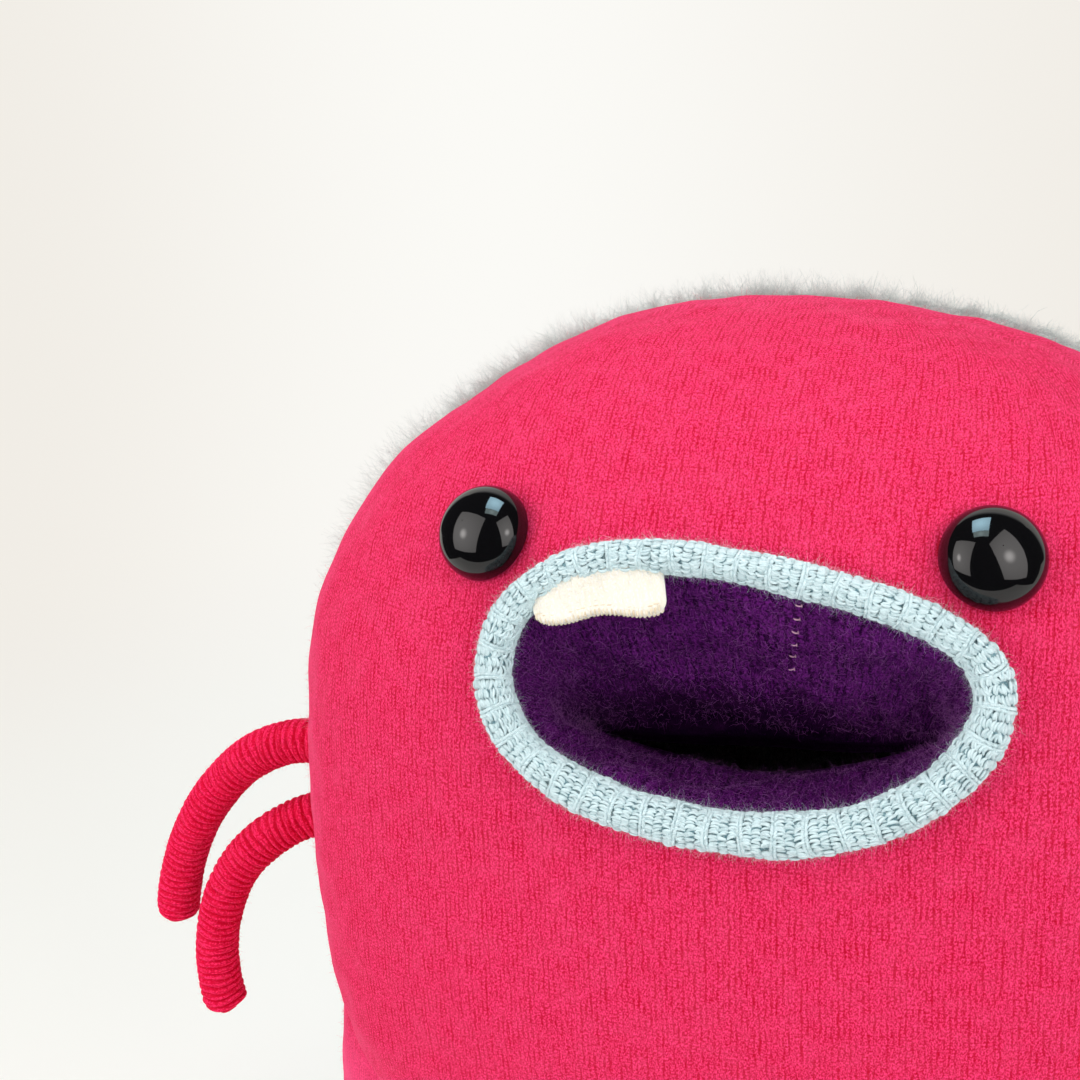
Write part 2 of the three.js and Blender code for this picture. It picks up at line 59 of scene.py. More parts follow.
# No fibre runs this way, so it can stand in wherever a side of a fibre is looked for.
ODD_DIRECTION = (0.31, 0.17, 0.93)
EYE_X, EYE_Z = 75.0, 329.5


# Plain helpers


def linear(hex_colour: str) -> tuple[float, float, float, float]:
    """Turn an sRGB hex colour into linear light.

    Args:
        hex_colour: six hex digits, with or without a leading hash.

    Returns:
        Red, green, blue and an alpha of 1.
    """
    digits = hex_colour.lstrip("#")
    channels = [int(digits[i : i + 2], 16) / 255 for i in (0, 2, 4)]
    light = [c / 12.92 if c <= 0.04045 else ((c + 0.055) / 1.055) ** 2.4 for c in channels]
    return (light[0], light[1], light[2], 1.0)


def unit(vectors: np.ndarray) -> np.ndarray:
    """Return the vectors at length one."""
    length = np.linalg.norm(vectors, axis=-1, keepdims=True)
    return vectors / np.maximum(length, 1e-12)


def smooth_step(low: float, high: float, value: np.ndarray) -> np.ndarray:
    """Return 0 on the low side, 1 on the high side and a smooth change between them."""
    t = np.clip((value - low) / (high - low), 0.0, 1.0)
    return t * t * (3.0 - 2.0 * t)


def signed_power(value: np.ndarray, power: float) -> np.ndarray:
    """Return the power of the size of a value, with the value's sign."""
    return np.sign(value) * np.abs(value) ** power


def circle(sides: int) -> np.ndarray:
    """Return evenly spaced angles round a full turn."""
    return np.arange(sides) * 2 * math.pi / sides


def bell(gap: np.ndarray, reach: float) -> np.ndarray:
    """Return 1 where the gap is nothing, falling softly to 0 beyond the reach."""
    return np.exp(-((gap / reach) ** 2))


def stacked(*values: np.ndarray | float) -> np.ndarray:
    """Join arrays and plain numbers into points, one coordinate from each."""
    return np.stack(np.broadcast_arrays(*values), axis=-1)


def lengths_along(line: np.ndarray) -> np.ndarray:
    """Return how far along a line of points each of them lies."""
    steps = np.linalg.norm(np.diff(line, axis=0), axis=1)
    return np.concatenate([[0.0], np.cumsum(steps)])


def lumps(points: np.ndarray, wavelength: float, seed: int, waves: int = 9) -> np.ndarray:
    """Sum seeded plane waves into a smooth, uneven field.

    Args:
        points: places in millimetres, one row each.
        wavelength: typical distance between two lumps.
        seed: picks the directions and phases.
        waves: how many plane waves are summed.

    Returns:
        One value per point, mostly between -1 and 1.
    """
    rng = np.random.default_rng(seed)
    directions = unit(rng.normal(size=(waves, points.shape[-1])))
    lengths = wavelength * rng.uniform(0.7, 1.5, waves)
    phases = rng.uniform(0, 2 * math.pi, waves)
    angles = points @ (directions / lengths[:, None]).T * 2 * math.pi + phases
    return np.sin(angles).sum(axis=-1) / math.sqrt(waves)


@dataclass
class Shell:
    """Points in millimetres, the faces that join them, and what is painted on them."""

    points: np.ndarray
    faces: list[np.ndarray]
    knit: np.ndarray | None = None
    tone: np.ndarray | None = None

    def normals(self) -> np.ndarray:
        """Return a normal for each point, from the faces round it."""
        total = np.zeros_like(self.points)
        for group in self.faces:
            corner = self.points[group]
            face = np.cross(corner[:, 2] - corner[:, 0], corner[:, -1] - corner[:, 1])
            for k in range(group.shape[1]):
                np.add.at(total, group[:, k], face)
        return unit(total)

    def smooth(self, rounds: int, weight: np.ndarray) -> None:
        """Draw each point half way towards its neighbours.

        Args:
            rounds: how many times.
            weight: share of the pull for each point.
        """
        sides = [(g, k) for g in self.faces for k in range(g.shape[1])]
        edges = np.concatenate([stacked(g[:, k], np.roll(g, -1, axis=1)[:, k]) for g, k in sides])
        edges = np.concatenate([edges, edges[:, ::-1]])
        count = np.bincount(edges[:, 0], minlength=len(self.points))
        share = 0.5 * weight[:, None]
        for _ in range(rounds):
            near = self.points[edges[:, 1]]
            total = [np.bincount(edges[:, 0], near[:, k], len(self.points)) for k in range(3)]
            mean = stacked(*total) / np.maximum(count, 1)[:, None]
            self.points += (mean - self.points) * share

    def kept(self, keep: list[np.ndarray]) -> "Shell":
        """Return the shell with only some faces.

        Args:
            keep: for each group of faces, a mask of those that stay.

        Returns:
            A new shell without loose points.
        """
        faces = [group[mask] for group, mask in zip(self.faces, keep)]
        used = np.unique(np.concatenate([g.ravel() for g in faces]))
        place = np.full(len(self.points), -1)
        place[used] = np.arange(len(used))
        knit = None if self.knit is None else self.knit[used]
        tone = None if self.tone is None else self.tone[used]
        return Shell(self.points[used], [place[g] for g in faces], knit, tone)

    def middles(self) -> list[np.ndarray]:
        """Return the middle of each face, for each group of faces."""
        return [self.points[group].mean(axis=1) for group in self.faces]


def joined(shells: list[Shell]) -> Shell:
    """Join shells without welding.

    Args:
        shells: what goes into one mesh.

    Returns:
        One shell that holds them all.
    """
    start = 0
    groups: dict[int, list[np.ndarray]] = {}
    for shell in shells:
        for group in shell.faces:
            groups.setdefault(group.shape[1], []).append(group + start)
        start += len(shell.points)
    tones = [s.tone if s.tone is not None else np.full(len(s.points), 0.5) for s in shells]
    knits = [s.knit if s.knit is not None else s.points[:, [0, 2]] for s in shells]
    return Shell(
        np.concatenate([s.points for s in shells]),
        [np.concatenate(g) for g in groups.values()],
        np.concatenate(knits),
        np.concatenate(tones),
    )


def grid_faces(rows: int, columns: int, wrap: bool) -> np.ndarray:
    """Return the quads of a grid of points.

    Args:
        rows: points along the first direction.
        columns: points along the second.
        wrap: whether the last column meets the first.

    Returns:
        One row of four indices for each quad.
    """
    i = np.arange(rows - 1)[:, None]
    j = np.arange(columns if wrap else columns - 1)[None, :]
    k = (j + 1) % columns
    corners = [i * columns + j, i * columns + k, (i + 1) * columns + k, (i + 1) * columns + j]
    return np.stack(corners, axis=-1).reshape(-1, 4)


def end_faces(rows: int, sides: int) -> np.ndarray:
    """Return the two faces that close the first and the last row of a tube."""
    ring = np.arange(sides)
    return np.stack([ring[::-1], (rows - 1) * sides + ring])


def closed_tube(rings: list[np.ndarray]) -> Shell:
    """Join rings into a tube whose two ends are closed by one face each.

    Args:
        rings: the rings in order, of the same count.

    Returns:
        The closed tube.
    """
    rows, sides = len(rings), len(rings[0])
    return Shell(
        np.concatenate(rings), [grid_faces(rows, sides, wrap=True), end_faces(rows, sides)]
    )


def many(corners: list[np.ndarray], faces: list[np.ndarray], tone: np.ndarray) -> Shell:
    """Repeat one small form for a whole crowd of fibres or loops.

    Args:
        corners: for each corner of the form, its place in every copy.
        faces: the faces of one copy.
        tone: lightness of each copy.

    Returns:
        All the copies as one shell.
    """
    points = np.stack(corners, axis=1).reshape(-1, 3)
    shift = (np.arange(len(tone)) * len(corners))[:, None, None]
    groups = [(group[None] + shift).reshape(-1, group.shape[1]) for group in faces]
    return Shell(points, groups, None, np.repeat(tone, len(corners)))


@dataclass(frozen=True)
class Fibre:
    """How one kind of fibre grows: tapered, wandering, with three flat sides.

    Width is the thickness at the root and curl the turn in one step, in radians. Lift says how
    much it stands up, spread how much its direction varies, and sunk how deep it is rooted.
    """

    width: float
    curl: float
    lift: float
    spread: float
    seed: int
    sunk: float = 0.0
    steps: int = 3
    taper: float = 0.75
    wander: float = 0.6

    def heads(
        self, normals: np.ndarray, rng: np.random.Generator, lean: np.ndarray | float = 0.0
    ) -> np.ndarray:
        """Draw the first directions of the fibres.

        Args:
            normals: away from the cloth at each root.
            rng: source of their spread.
            lean: a way that they are combed.

        Returns:
            One direction for each fibre.
        """
        return normals * self.lift + lean + rng.normal(size=normals.shape) * self.spread

    def grow(
        self, roots: np.ndarray, normals: np.ndarray, heads: np.ndarray, length: np.ndarray
    ) -> Shell:
        """Make the fibres.

        Args:
            roots: where they leave the cloth.
            normals: away from the cloth at each root.
            heads: their first directions.
            length: length of each.

        Returns:
            All the fibres as one shell, each with a lightness of its own.
        """
        rng, sides = np.random.default_rng(self.seed), 3
        place, heading = roots - normals * self.sunk, unit(heads)
        drift = rng.normal(size=roots.shape) * self.curl
        rings = []
        for k in range(self.steps + 1):
            side = unit(np.cross(heading, ODD_DIRECTION))
            other = np.cross(heading, side)
            radius = self.width / 2 * (1.0 - self.taper * k / self.steps)
            for turn in circle(sides):
                rings.append(place + radius * (side * math.cos(turn) + other * math.sin(turn)))
            place = place + heading * (length / self.steps)[:, None]
            drift += rng.normal(size=roots.shape) * self.curl * self.wander
            heading = unit(heading + drift)
        tube = grid_faces(self.steps + 1, sides, wrap=True)
        return many(rings, [tube], rng.uniform(0.2, 0.9, len(roots)))


@dataclass(frozen=True)
class Loop:
    """One short, fat, arched tube: a loop of yarn that shows as a stitch.

    It is measured end to end, across the yarn, from its ends up to its middle (arch) and from
    its ends sideways to its middle (bow).
    """

    length: float
    width: float
    arch: float
    bow: float = 0.0
    steps: int = 6
    sides: int = 6
    tip: float = 0.08

    def sew(
        self, centre: np.ndarray, along: np.ndarray, up: np.ndarray, tone: np.ndarray
    ) -> Shell:
        """Make a copy of the loop for each stitch.

        Args:
            centre: middle of each.
            along: the way each runs.
            up: away from the surface.
            tone: lightness of each.

        Returns:
            All the loops as one shell.
        """
        along, up = unit(along), unit(up)
        across = unit(np.cross(up, along))
        rings = []
        for k in range(self.steps + 1):
            t = 2 * k / self.steps - 1
            swell = math.sqrt(max(0.0, 1 - t**4)) * (1 - self.tip) + self.tip
            radius = self.width / 2 * swell
            middle = centre + along * (t * self.length / 2)
            middle = middle + up * (self.arch * (1 - t * t)) + across * (self.bow * (1 - t * t))
            for turn in circle(self.sides):
                rings.append(middle + radius * (across * math.cos(turn) + up * math.sin(turn)))
        rows = self.steps + 1
        faces = [grid_faces(rows, self.sides, wrap=True), end_faces(rows, self.sides)]
        return many(rings, faces, tone)


def scatter(shell: Shell, count: int, seed: int) -> tuple[np.ndarray, np.ndarray]:
    """Pick places all over a shell, evenly by area.

    Args:
        shell: what the fibres grow on.
        count: how many places.
        seed: fixes them.

    Returns:
        Places and the normals there.
    """
    rng = np.random.default_rng(seed)
    quads = shell.faces[-1] if shell.faces[-1].shape[1] == 4 else shell.faces[0]
    corner = shell.points[quads]
    across = np.cross(corner[:, 2] - corner[:, 0], corner[:, 3] - corner[:, 1])
    area = np.linalg.norm(across, axis=1)
    pick = rng.choice(len(quads), count, p=area / area.sum())
    u, v = rng.random((2, count, 1))
    c = corner[pick]
    low, high = c[:, 0] * (1 - u) + c[:, 1] * u, c[:, 3] * (1 - u) + c[:, 2] * u
    return low * (1 - v) + high * v, shell.normals()[quads[pick, 0]]


def to_mesh(name: str, shell: Shell) -> bpy.types.Mesh:
    """Write a shell into a Blender mesh, in metres, smooth shaded.

    Args:
        name: name of the mesh.
        shell: points, faces and what is painted on them.

    Returns:
        The new mesh.
    """
    mesh = bpy.data.meshes.new(name)
    loops = np.concatenate([g.ravel() for g in shell.faces]).astype(np.int32)
    sizes = np.concatenate([np.full(len(g), g.shape[1]) for g in shell.faces])
    starts = np.concatenate([[0], np.cumsum(sizes)[:-1]]).astype(np.int32)
    mesh.vertices.add(len(shell.points))
    mesh.vertices.foreach_set("co", (shell.points * MM).astype(np.float32).ravel())
    mesh.loops.add(len(loops))
    mesh.loops.foreach_set("vertex_index", loops)
    mesh.polygons.add(len(sizes))
    mesh.polygons.foreach_set("loop_start", starts)
    mesh.update(calc_edges=True)
    mesh.polygons.foreach_set("use_smooth", np.ones(len(sizes), dtype=bool))
    if shell.knit is not None:
        layer = mesh.uv_layers.new(name="knit")
        layer.data.foreach_set("uv", (shell.knit[loops] * MM).astype(np.float32).ravel())
    if shell.tone is not None:
        tone = mesh.attributes.new("tone", "FLOAT", "POINT")
        tone.data.foreach_set("value", shell.tone.astype(np.float32))
    mesh.update()
    return mesh


def place_in_scene(name: str, data: bpy.types.ID) -> bpy.types.Object:
    """Put a mesh, a lamp or a camera into the scene.

    Args:
        name: what the object is called.
        data: what it holds.

    Returns:
        The new object.
    """
    item = bpy.data.objects.new(name, data)
    bpy.context.scene.collection.objects.link(item)
    return item


def add_piece(name: str, shell: Shell, material: bpy.types.Material) -> bpy.types.Object:
    """Make an object from a shell and put it in the scene.

    Args:
        name: name of the piece.
        shell: its form.
        material: its finish.

    Returns:
        The new object, which rides on nothing yet.
    """
    piece = place_in_scene(name, to_mesh(name, shell))
    piece.data.materials.append(material)
    log.info("%s: %d points", name, len(shell.points))
    return piece


def voxel_union(shells: list[Shell], voxel: float) -> Shell:
    """Melt closed, overlapping shells into one even skin.

    Args:
        shells: closed forms.
        voxel: size of the new faces in millimetres.

    Returns:
        The outer skin of them all.
    """
    source = place_in_scene("melt", to_mesh("melt", joined(shells)))
    remesh = source.modifiers.new("melt", "REMESH")
    remesh.mode = "VOXEL"
    remesh.voxel_size = voxel * MM
    graph = bpy.context.evaluated_depsgraph_get()
    made = bpy.data.meshes.new_from_object(source.evaluated_get(graph))
    points = np.empty(len(made.vertices) * 3, dtype=np.float32)
    made.vertices.foreach_get("co", points)
    loops = np.empty(len(made.loops), dtype=np.int32)
    made.loops.foreach_get("vertex_index", loops)
    sizes = np.empty(len(made.polygons), dtype=np.int32)
    made.polygons.foreach_get("loop_total", sizes)
    starts = np.cumsum(sizes) - sizes
    faces = [loops[starts[sizes == n][:, None] + np.arange(n)] for n in np.unique(sizes)]
    bpy.data.objects.remove(source)
    bpy.data.meshes.remove(made)
    return Shell(points.reshape(-1, 3).astype(float) / MM, faces)


# Finishes

Feed = float | tuple | bpy.types.NodeSocket


def add_node(
    tree: bpy.types.NodeTree,
    kind: str,
    feeds: dict[str | int, Feed] | None = None,
    out: str | int = 0,
    **settings: str | bool,
) -> bpy.types.NodeSocket:
    """Add one node with its settings, values and links.

    Args:
        tree: where the node goes.
        kind: Blender's name for the node type, after the word that all of them share.
        feeds: a value or another node's output for each input, by name or number.
        out: which output is wanted.
        settings: the node's own properties.

    Returns:
        The wanted output, or the first input of a node that has none.
    """
    node = tree.nodes.new("ShaderNode" + kind)
    for name, value in settings.items():
        setattr(node, name, value)
    for key, value in (feeds or {}).items():
        if isinstance(value, bpy.types.NodeSocket):
            tree.links.new(value, node.inputs[key])
        else:
            node.inputs[key].default_value = value
    return node.outputs[out] if len(node.outputs) else node.inputs[0]


def new_material(name: str) -> tuple[bpy.types.Material, bpy.types.NodeTree]:
    """Start a finish.

    Args:
        name: the real material.

    Returns:
        An empty node material and its tree.
    """
    material = bpy.data.materials.new(name)
    material.use_nodes = True
    material.node_tree.nodes.clear()
    return material, material.node_tree


@dataclass(frozen=True)
class WoolKnit:
    """Stockinette of lambswool, washed until it felts: soft columns of V stitches under fuzz.

    The wale and course are the width and height of a stitch, the other lengths are the sizes
    of its textures, all in millimetres. The shares run from 0 to 1.
    """

    name: str
    wool: str
    shadow: str
    haze: str
    wale: float = 1.67
    course: float = 1.25
    felting: float = 0.35
    depth: float = 0.3
    mottle: float = 9.0
    grain: float = 0.52
    grain_share: float = 0.45
    fibre: float = 1.5
    fibre_share: float = 0.25
    shine: float = 0.1
    sheen: float = 0.05
    sheen_tint: str = "#ff6a90"
    roughness: float = 0.9
    lit_from: float = 0.36
    lit_to: float = 0.9
    # Strength of the painted rim sheen; rim_from says where it begins.
    rim: float = 0.0
    drift: float = 1.2
    drift_size: float = 4.0
    leg_slant: float = 1.1
    groove_width: float = 0.34
    felt_level: float = 0.68
    fibre_width: float = 0.045
    rim_from: float = 0.62
    haze_share: float = 0.1
    shade_depth: float = 0.45

    def stitches(self, tree: bpy.types.NodeTree, place: Feed) -> Feed:
        """Add the V legs in their columns, half filled by felting.

        Args:
            tree: the material's nodes.
            place: coordinates on the flat panel.

        Returns:
            The height of the stitches, 0 to 1.
        """
        warp = {"Vector": place, "Scale": 1 / (self.drift_size * MM), "Detail": 3.0}
        drift = add_node(tree, "TexNoise", warp, out="Color", noise_dimensions="2D")
        shift = {0: drift, 1: (self.drift * self.wale * MM,) * 3, 2: place}
        drifted = add_node(tree, "VectorMath", shift, operation="MULTIPLY_ADD")
        across = add_node(tree, "SeparateXYZ", {0: drifted}, out="X")
        upward = across.node.outputs["Y"]
        pitch = {0: across, 1: 1 / (self.wale * MM)}
        column = add_node(tree, "Math", pitch, operation="MULTIPLY")
        # The ping-pong runs from 0 in the groove between two wales to 0.5 along a wale's middle.
        wale = add_node(tree, "Math", {0: column, 1: 0.5}, operation="PINGPONG")
        rise = {0: upward, 1: 1 / (self.course * MM)}
        row = add_node(tree, "Math", rise, operation="MULTIPLY")
        bent = {0: wale, 1: self.leg_slant, 2: row}
        slant = add_node(tree, "Math", bent, operation="MULTIPLY_ADD")
        turn = add_node(tree, "Math", {0: slant, 1: 2 * math.pi}, operation="MULTIPLY")
        leg = add_node(tree, "Math", {0: turn}, operation="SINE")
        groove = {"Value": wale, "From Min": 0.0, "From Max": self.groove_width}
        ridge = add_node(tree, "MapRange", groove, interpolation_type="SMOOTHSTEP")
        stitch = add_node(tree, "Math", {0: leg, 1: 0.24, 2: 0.72}, operation="MULTIPLY_ADD")
        knit = add_node(tree, "Math", {0: ridge, 1: stitch}, operation="MULTIPLY")
        # Felting fills the stitches in patches a few stitches wide, longer along the wales.
        streak = add_node(tree, "Mapping", {"Vector": place, "Scale": (1.0, 0.4, 1.0)})
        patch = {"Vector": streak, "Scale": 1 / (1.5 * self.wale * MM), "Detail": 3.0}
        felt = add_node(tree, "TexNoise", patch, noise_dimensions="2D")
        spread = {"Value": felt, "From Min": 0.38, "From Max": 0.38 + 0.5 * (1 - self.felting)}
        filled = add_node(tree, "MapRange", spread)
        return add_node(tree, "Mix", {0: filled, 2: self.felt_level, 3: knit}, data_type="FLOAT")

    def pattern(self, tree: bpy.types.NodeTree) -> tuple[Feed, Feed]:
        """Add the stitches and the fibres that lie over them.

        Args:
            tree: the material's nodes.

        Returns:
            The height of the knit and the lines of the loose fibres, both 0 to 1.
        """
        place = add_node(tree, "UVMap", uv_map="knit")
        loose = add_node(tree, "Mapping", {"Vector": place, "Scale": (1.0, 0.6, 1.0)})
        tuft = {"Vector": loose, "Scale": 1 / (self.grain * MM), "Detail": 2.0,
                "Roughness": 0.6, "Distortion": 0.5}
        grain = add_node(tree, "TexNoise", tuft, noise_dimensions="2D")
        # The noise keeps near its middle value, so this spreads it over the whole range.
        tufts = add_node(tree, "MapRange", {"Value": grain, "From Min": 0.38, "From Max": 0.62})
        both = {0: self.grain_share, 2: self.stitches(tree, place), 3: tufts}
        height = add_node(tree, "Mix", both, data_type="FLOAT")
        # Each crossing of the noise's middle value draws one curled fibre, about 0.25 mm thick.
        wool = {"Vector": place, "Scale": 1 / (self.fibre * MM), "Detail": 1.5, "Distortion": 1.4}
        curl = add_node(tree, "TexNoise", wool, noise_dimensions="2D")
        middle = add_node(tree, "Math", {0: curl, 1: 0.5}, operation="SUBTRACT")
        off = add_node(tree, "Math", {0: middle}, operation="ABSOLUTE")
        line = {"Value": off, "From Min": 0.0, "From Max": self.fibre_width, "To Min": 1.0,
                "To Max": 0.0}
        return height, add_node(tree, "MapRange", line)

    def veil(self, tree: bpy.types.NodeTree, tone: Feed) -> Feed:
        """Add the pale haze: random patches of raised fibres, a painted sheen along the rim and
        painted light where the tone is below 0.

        Args:
            tree: the material's nodes.
            tone: the painted tone.

        Returns:
            How much of the knit the haze hides.
        """
        place = add_node(tree, "TexCoord", out="Object")
        spots = {"Vector": place, "Scale": 1 / (self.mottle * MM), "Detail": 4.0}
        patches = add_node(tree, "TexNoise", spots)
        share = {"Value": patches, "From Min": 0.4, "From Max": 0.75, "To Max": self.haze_share}
        haze = add_node(tree, "MapRange", share)
        # Painted sheen: seen flat along the cloth, the colour turns paler at the rim, where the
        # felt's fuzz covers the stitches.
        facing = add_node(tree, "LayerWeight", {"Blend": 0.5}, out="Facing")
        flat = {"Value": facing, "From Min": self.rim_from, "From Max": 1.0, "To Max": self.rim}
        painted_rim_sheen = add_node(tree, "MapRange", flat, interpolation_type="SMOOTHSTEP")
        # A negative tone paints light: a pale haze that hides the stitches too.
        painted_pale = add_node(tree, "Math", {0: tone, 1: -1.0, 2: painted_rim_sheen}, operation="MULTIPLY_ADD")
        painted_light = add_node(tree, "Math", {0: painted_pale, 1: painted_rim_sheen}, operation="MAXIMUM")
        return add_node(tree, "Math", {0: haze, 1: painted_light}, operation="ADD")

    def build(self) -> bpy.types.Material:
        """Return the knit as a material."""
        material, tree = new_material(self.name)
        height, fibres = self.pattern(tree)
        tone = add_node(tree, "Attribute", out="Fac", attribute_name="tone")
        # Painted shade: a positive tone lowers the height that picks the colour, towards the shadow
        # colour.
        shade = {0: tone, 1: -self.shade_depth, 2: height}
        sunk = add_node(tree, "Math", shade, operation="MULTIPLY_ADD")
        light = {"Value": sunk, "From Min": self.lit_from, "From Max": self.lit_to}
        dyed = {0: add_node(tree, "MapRange", light), 6: linear(self.shadow), 7: linear(self.wool)}
        yarn = add_node(tree, "Mix", dyed, out=2, data_type="RGBA")
        # Where the tone marks a fold's shade, the fibres fade too.
        fade = {"Value": tone, "To Min": self.fibre_share, "To Max": 0.0}
        laid = {0: fibres, 1: add_node(tree, "MapRange", fade), 2: self.veil(tree, tone)}
        cover = add_node(tree, "Math", laid, operation="MULTIPLY_ADD", use_clamp=True)
        seen = {0: cover, 6: yarn, 7: linear(self.haze)}
        colour = add_node(tree, "Mix", seen, out=2, data_type="RGBA")
        relief = {"Strength": 1.0, "Distance": self.depth * MM, "Height": height}
        cloth = add_node(
            tree,
            "BsdfPrincipled",
            {"Base Color": colour, "Roughness": self.roughness, "Specular IOR Level": self.shine,
             "Sheen Weight": self.sheen, "Sheen Roughness": 0.45,
             "Sheen Tint": linear(self.sheen_tint), "Normal": add_node(tree, "Bump", relief)},
        )
        add_node(tree, "OutputMaterial", {"Surface": cloth})
        return material


@dataclass(frozen=True)
class Yarn:
    """Spun wool yarn seen strand by strand: uneven twist, a soft edge and a tone that varies."""

    name: str
    wool: str
    shadow: str
    ply: float = 0.35
    depth: float = 0.15
    sheen: float = 0.3
    twist_share: float = 0.45

    def build(self) -> bpy.types.Material:
        """Return the yarn as a material."""
        material, tree = new_material(self.name)
        place = add_node(tree, "TexCoord", out="Object")
        tone = add_node(tree, "Attribute", out="Fac", attribute_name="tone")
        twist = {"Vector": place, "Scale": 1 / (self.ply * MM), "Detail": 4.0, "Roughness": 0.6}
        fibres = add_node(tree, "TexNoise", twist)
        # A low tone paints shade: it takes the yarn towards its shadow colour.
        uneven = {0: fibres, 1: self.twist_share, 2: tone}
        mixed = add_node(tree, "Math", uneven, operation="MULTIPLY_ADD")
        lit = add_node(tree, "MapRange", {"Value": mixed, "From Min": 0.2, "From Max": 1.0})
        dyed = {0: lit, 6: linear(self.shadow), 7: linear(self.wool)}
        colour = add_node(tree, "Mix", dyed, out=2, data_type="RGBA")
        relief = {"Strength": 1.0, "Distance": self.depth * MM, "Height": fibres}
        cloth = add_node(
            tree,
            "BsdfPrincipled",
            {"Base Color": colour, "Roughness": 0.9, "Specular IOR Level": 0.15,
             "Sheen Weight": self.sheen, "Sheen Roughness": 0.5,
             "Normal": add_node(tree, "Bump", relief)},
        )
        add_node(tree, "OutputMaterial", {"Surface": cloth})
        return material


@dataclass(frozen=True)
class LooseFibre:
    """Single wool or mohair hairs, combed out of the yarn, which let some light through."""

    name: str
    hair: str
    tip: str
    through: float = 0.35
    shine: float = 0.2

    def build(self) -> bpy.types.Material:
        """Return the fibre as a material."""
        material, tree = new_material(self.name)
        tone = add_node(tree, "Attribute", out="Fac", attribute_name="tone")
        dyed = {0: tone, 6: linear(self.hair), 7: linear(self.tip)}
        colour = add_node(tree, "Mix", dyed, out=2, data_type="RGBA")
        hair = {"Base Color": colour, "Roughness": 0.7, "Specular IOR Level": self.shine}
        solid = add_node(tree, "BsdfPrincipled", hair)
        glow = add_node(tree, "BsdfTranslucent", {"Color": colour})
        both = add_node(tree, "MixShader", {0: self.through, 1: solid, 2: glow})
        add_node(tree, "OutputMaterial", {"Surface": both})
        return material


@dataclass(frozen=True)
class MouldedPlastic:
    """Injection-moulded plastic: gloss acrylic on the eyes, matt polyethylene on the washers."""

    name: str
    colour: str
    roughness: float
    ripple: float = 0.01
    ripple_size: float = 4.0
    dust_size: float = 0.8
    wear: float = 0.05
    refraction: float = 1.49

    def build(self) -> bpy.types.Material:
        """Return the plastic as a material."""
        material, tree = new_material(self.name)
        place = add_node(tree, "TexCoord", out="Object")
        # The real surface ripples less than a render shows, so its waves are drawn 4 mm long.
        wave = {"Vector": place, "Scale": 1 / (self.ripple_size * MM)}
        ripple = add_node(tree, "TexNoise", wave)
        speck = {"Vector": place, "Scale": 1 / (self.dust_size * MM), "Detail": 3.0}
        worn = {"Value": add_node(tree, "TexNoise", speck), "From Min": 0.45, "From Max": 0.8,
                "To Min": self.roughness, "To Max": self.roughness + self.wear}
        relief = {"Strength": 1.0, "Distance": self.ripple * MM, "Height": ripple}
        plastic = add_node(
            tree,
            "BsdfPrincipled",
            {"Base Color": linear(self.colour), "Roughness": add_node(tree, "MapRange", worn),
             "IOR": self.refraction, "Normal": add_node(tree, "Bump", relief)},
        )
        add_node(tree, "OutputMaterial", {"Surface": plastic})
        return material


@dataclass(frozen=True)
class StudioPaper:
    """White seamless paper: plain near the toy, and a pale, nearly even tone with a painted fan of
    light for the camera far off.
    """

    name: str = "seamless_paper"
    paper: str = "#eef3f2"
    # The painted fan of light runs from the far colour in its middle to the edge colour at its
    # sides.
    far: str = "#fbfaf6"
    edge: str = "#f1ede6"
    near_edge: float = 420.0
    far_edge: float = 1100.0
    near_share: float = 0.55
    fan_start: float = 530.0
    fan_middle: float = -0.33
    fan_reach: float = 0.42

    def fan(self, tree: bpy.types.NodeTree, place: Feed) -> Feed:
        """Add the backdrop's painted light, brightest in a fan that spreads from before the toy.

        Args:
            tree: the material's nodes.
            place: coordinates in the frame.

        Returns:
            The colour that the camera sees.
        """
        side = add_node(tree, "SeparateXYZ", {0: place}, out="X")
        depth = {0: side.node.outputs["Y"], 1: self.fan_start * MM}
        back = add_node(tree, "Math", depth, operation="ADD")
        slope = add_node(tree, "Math", {0: side, 1: back}, operation="DIVIDE")
        off = add_node(tree, "Math", {0: slope, 1: self.fan_middle}, operation="SUBTRACT")
        wide = add_node(tree, "Math", {0: off}, operation="ABSOLUTE")
        reach = {"Value": wide, "From Min": 0.0, "From Max": self.fan_reach}
        dim = add_node(tree, "MapRange", reach, interpolation_type="SMOOTHSTEP")
        tint = {0: dim, 6: linear(self.far), 7: linear(self.edge)}
        return add_node(tree, "Mix", tint, out=2, data_type="RGBA")

    def build(self) -> bpy.types.Material:
        """Return the paper as a material."""
        material, tree = new_material(self.name)
        place = add_node(tree, "TexCoord", out="Object")
        reach = add_node(tree, "VectorMath", {0: place}, out="Value", operation="LENGTH")
        span = {"Value": reach, "From Min": self.near_edge * MM, "From Max": self.far_edge * MM,
                "To Min": self.near_share}
        away = add_node(tree, "MapRange", span, interpolation_type="SMOOTHSTEP")
        camera = add_node(tree, "LightPath", out="Is Camera Ray")
        paths = camera.node.outputs
        gloss = add_node(
            tree, "Math", {0: camera, 1: paths["Is Glossy Ray"]}, operation="MAXIMUM"
        )
        seen = add_node(
            tree, "Math", {0: gloss, 1: paths["Is Transmission Ray"]}, operation="MAXIMUM"
        )
        share = add_node(tree, "Math", {0: away, 1: seen}, operation="MULTIPLY")
        sheet = {"Base Color": linear(self.paper), "Roughness": 0.95, "Specular IOR Level": 0.1}
        matt = add_node(tree, "BsdfPrincipled", sheet)
        even = add_node(tree, "Emission", {"Color": self.fan(tree, place), "Strength": 1.0})
        both = add_node(tree, "MixShader", {0: share, 1: matt, 2: even})
        add_node(tree, "OutputMaterial", {"Surface": both})
        return material


# Forms that several pieces share


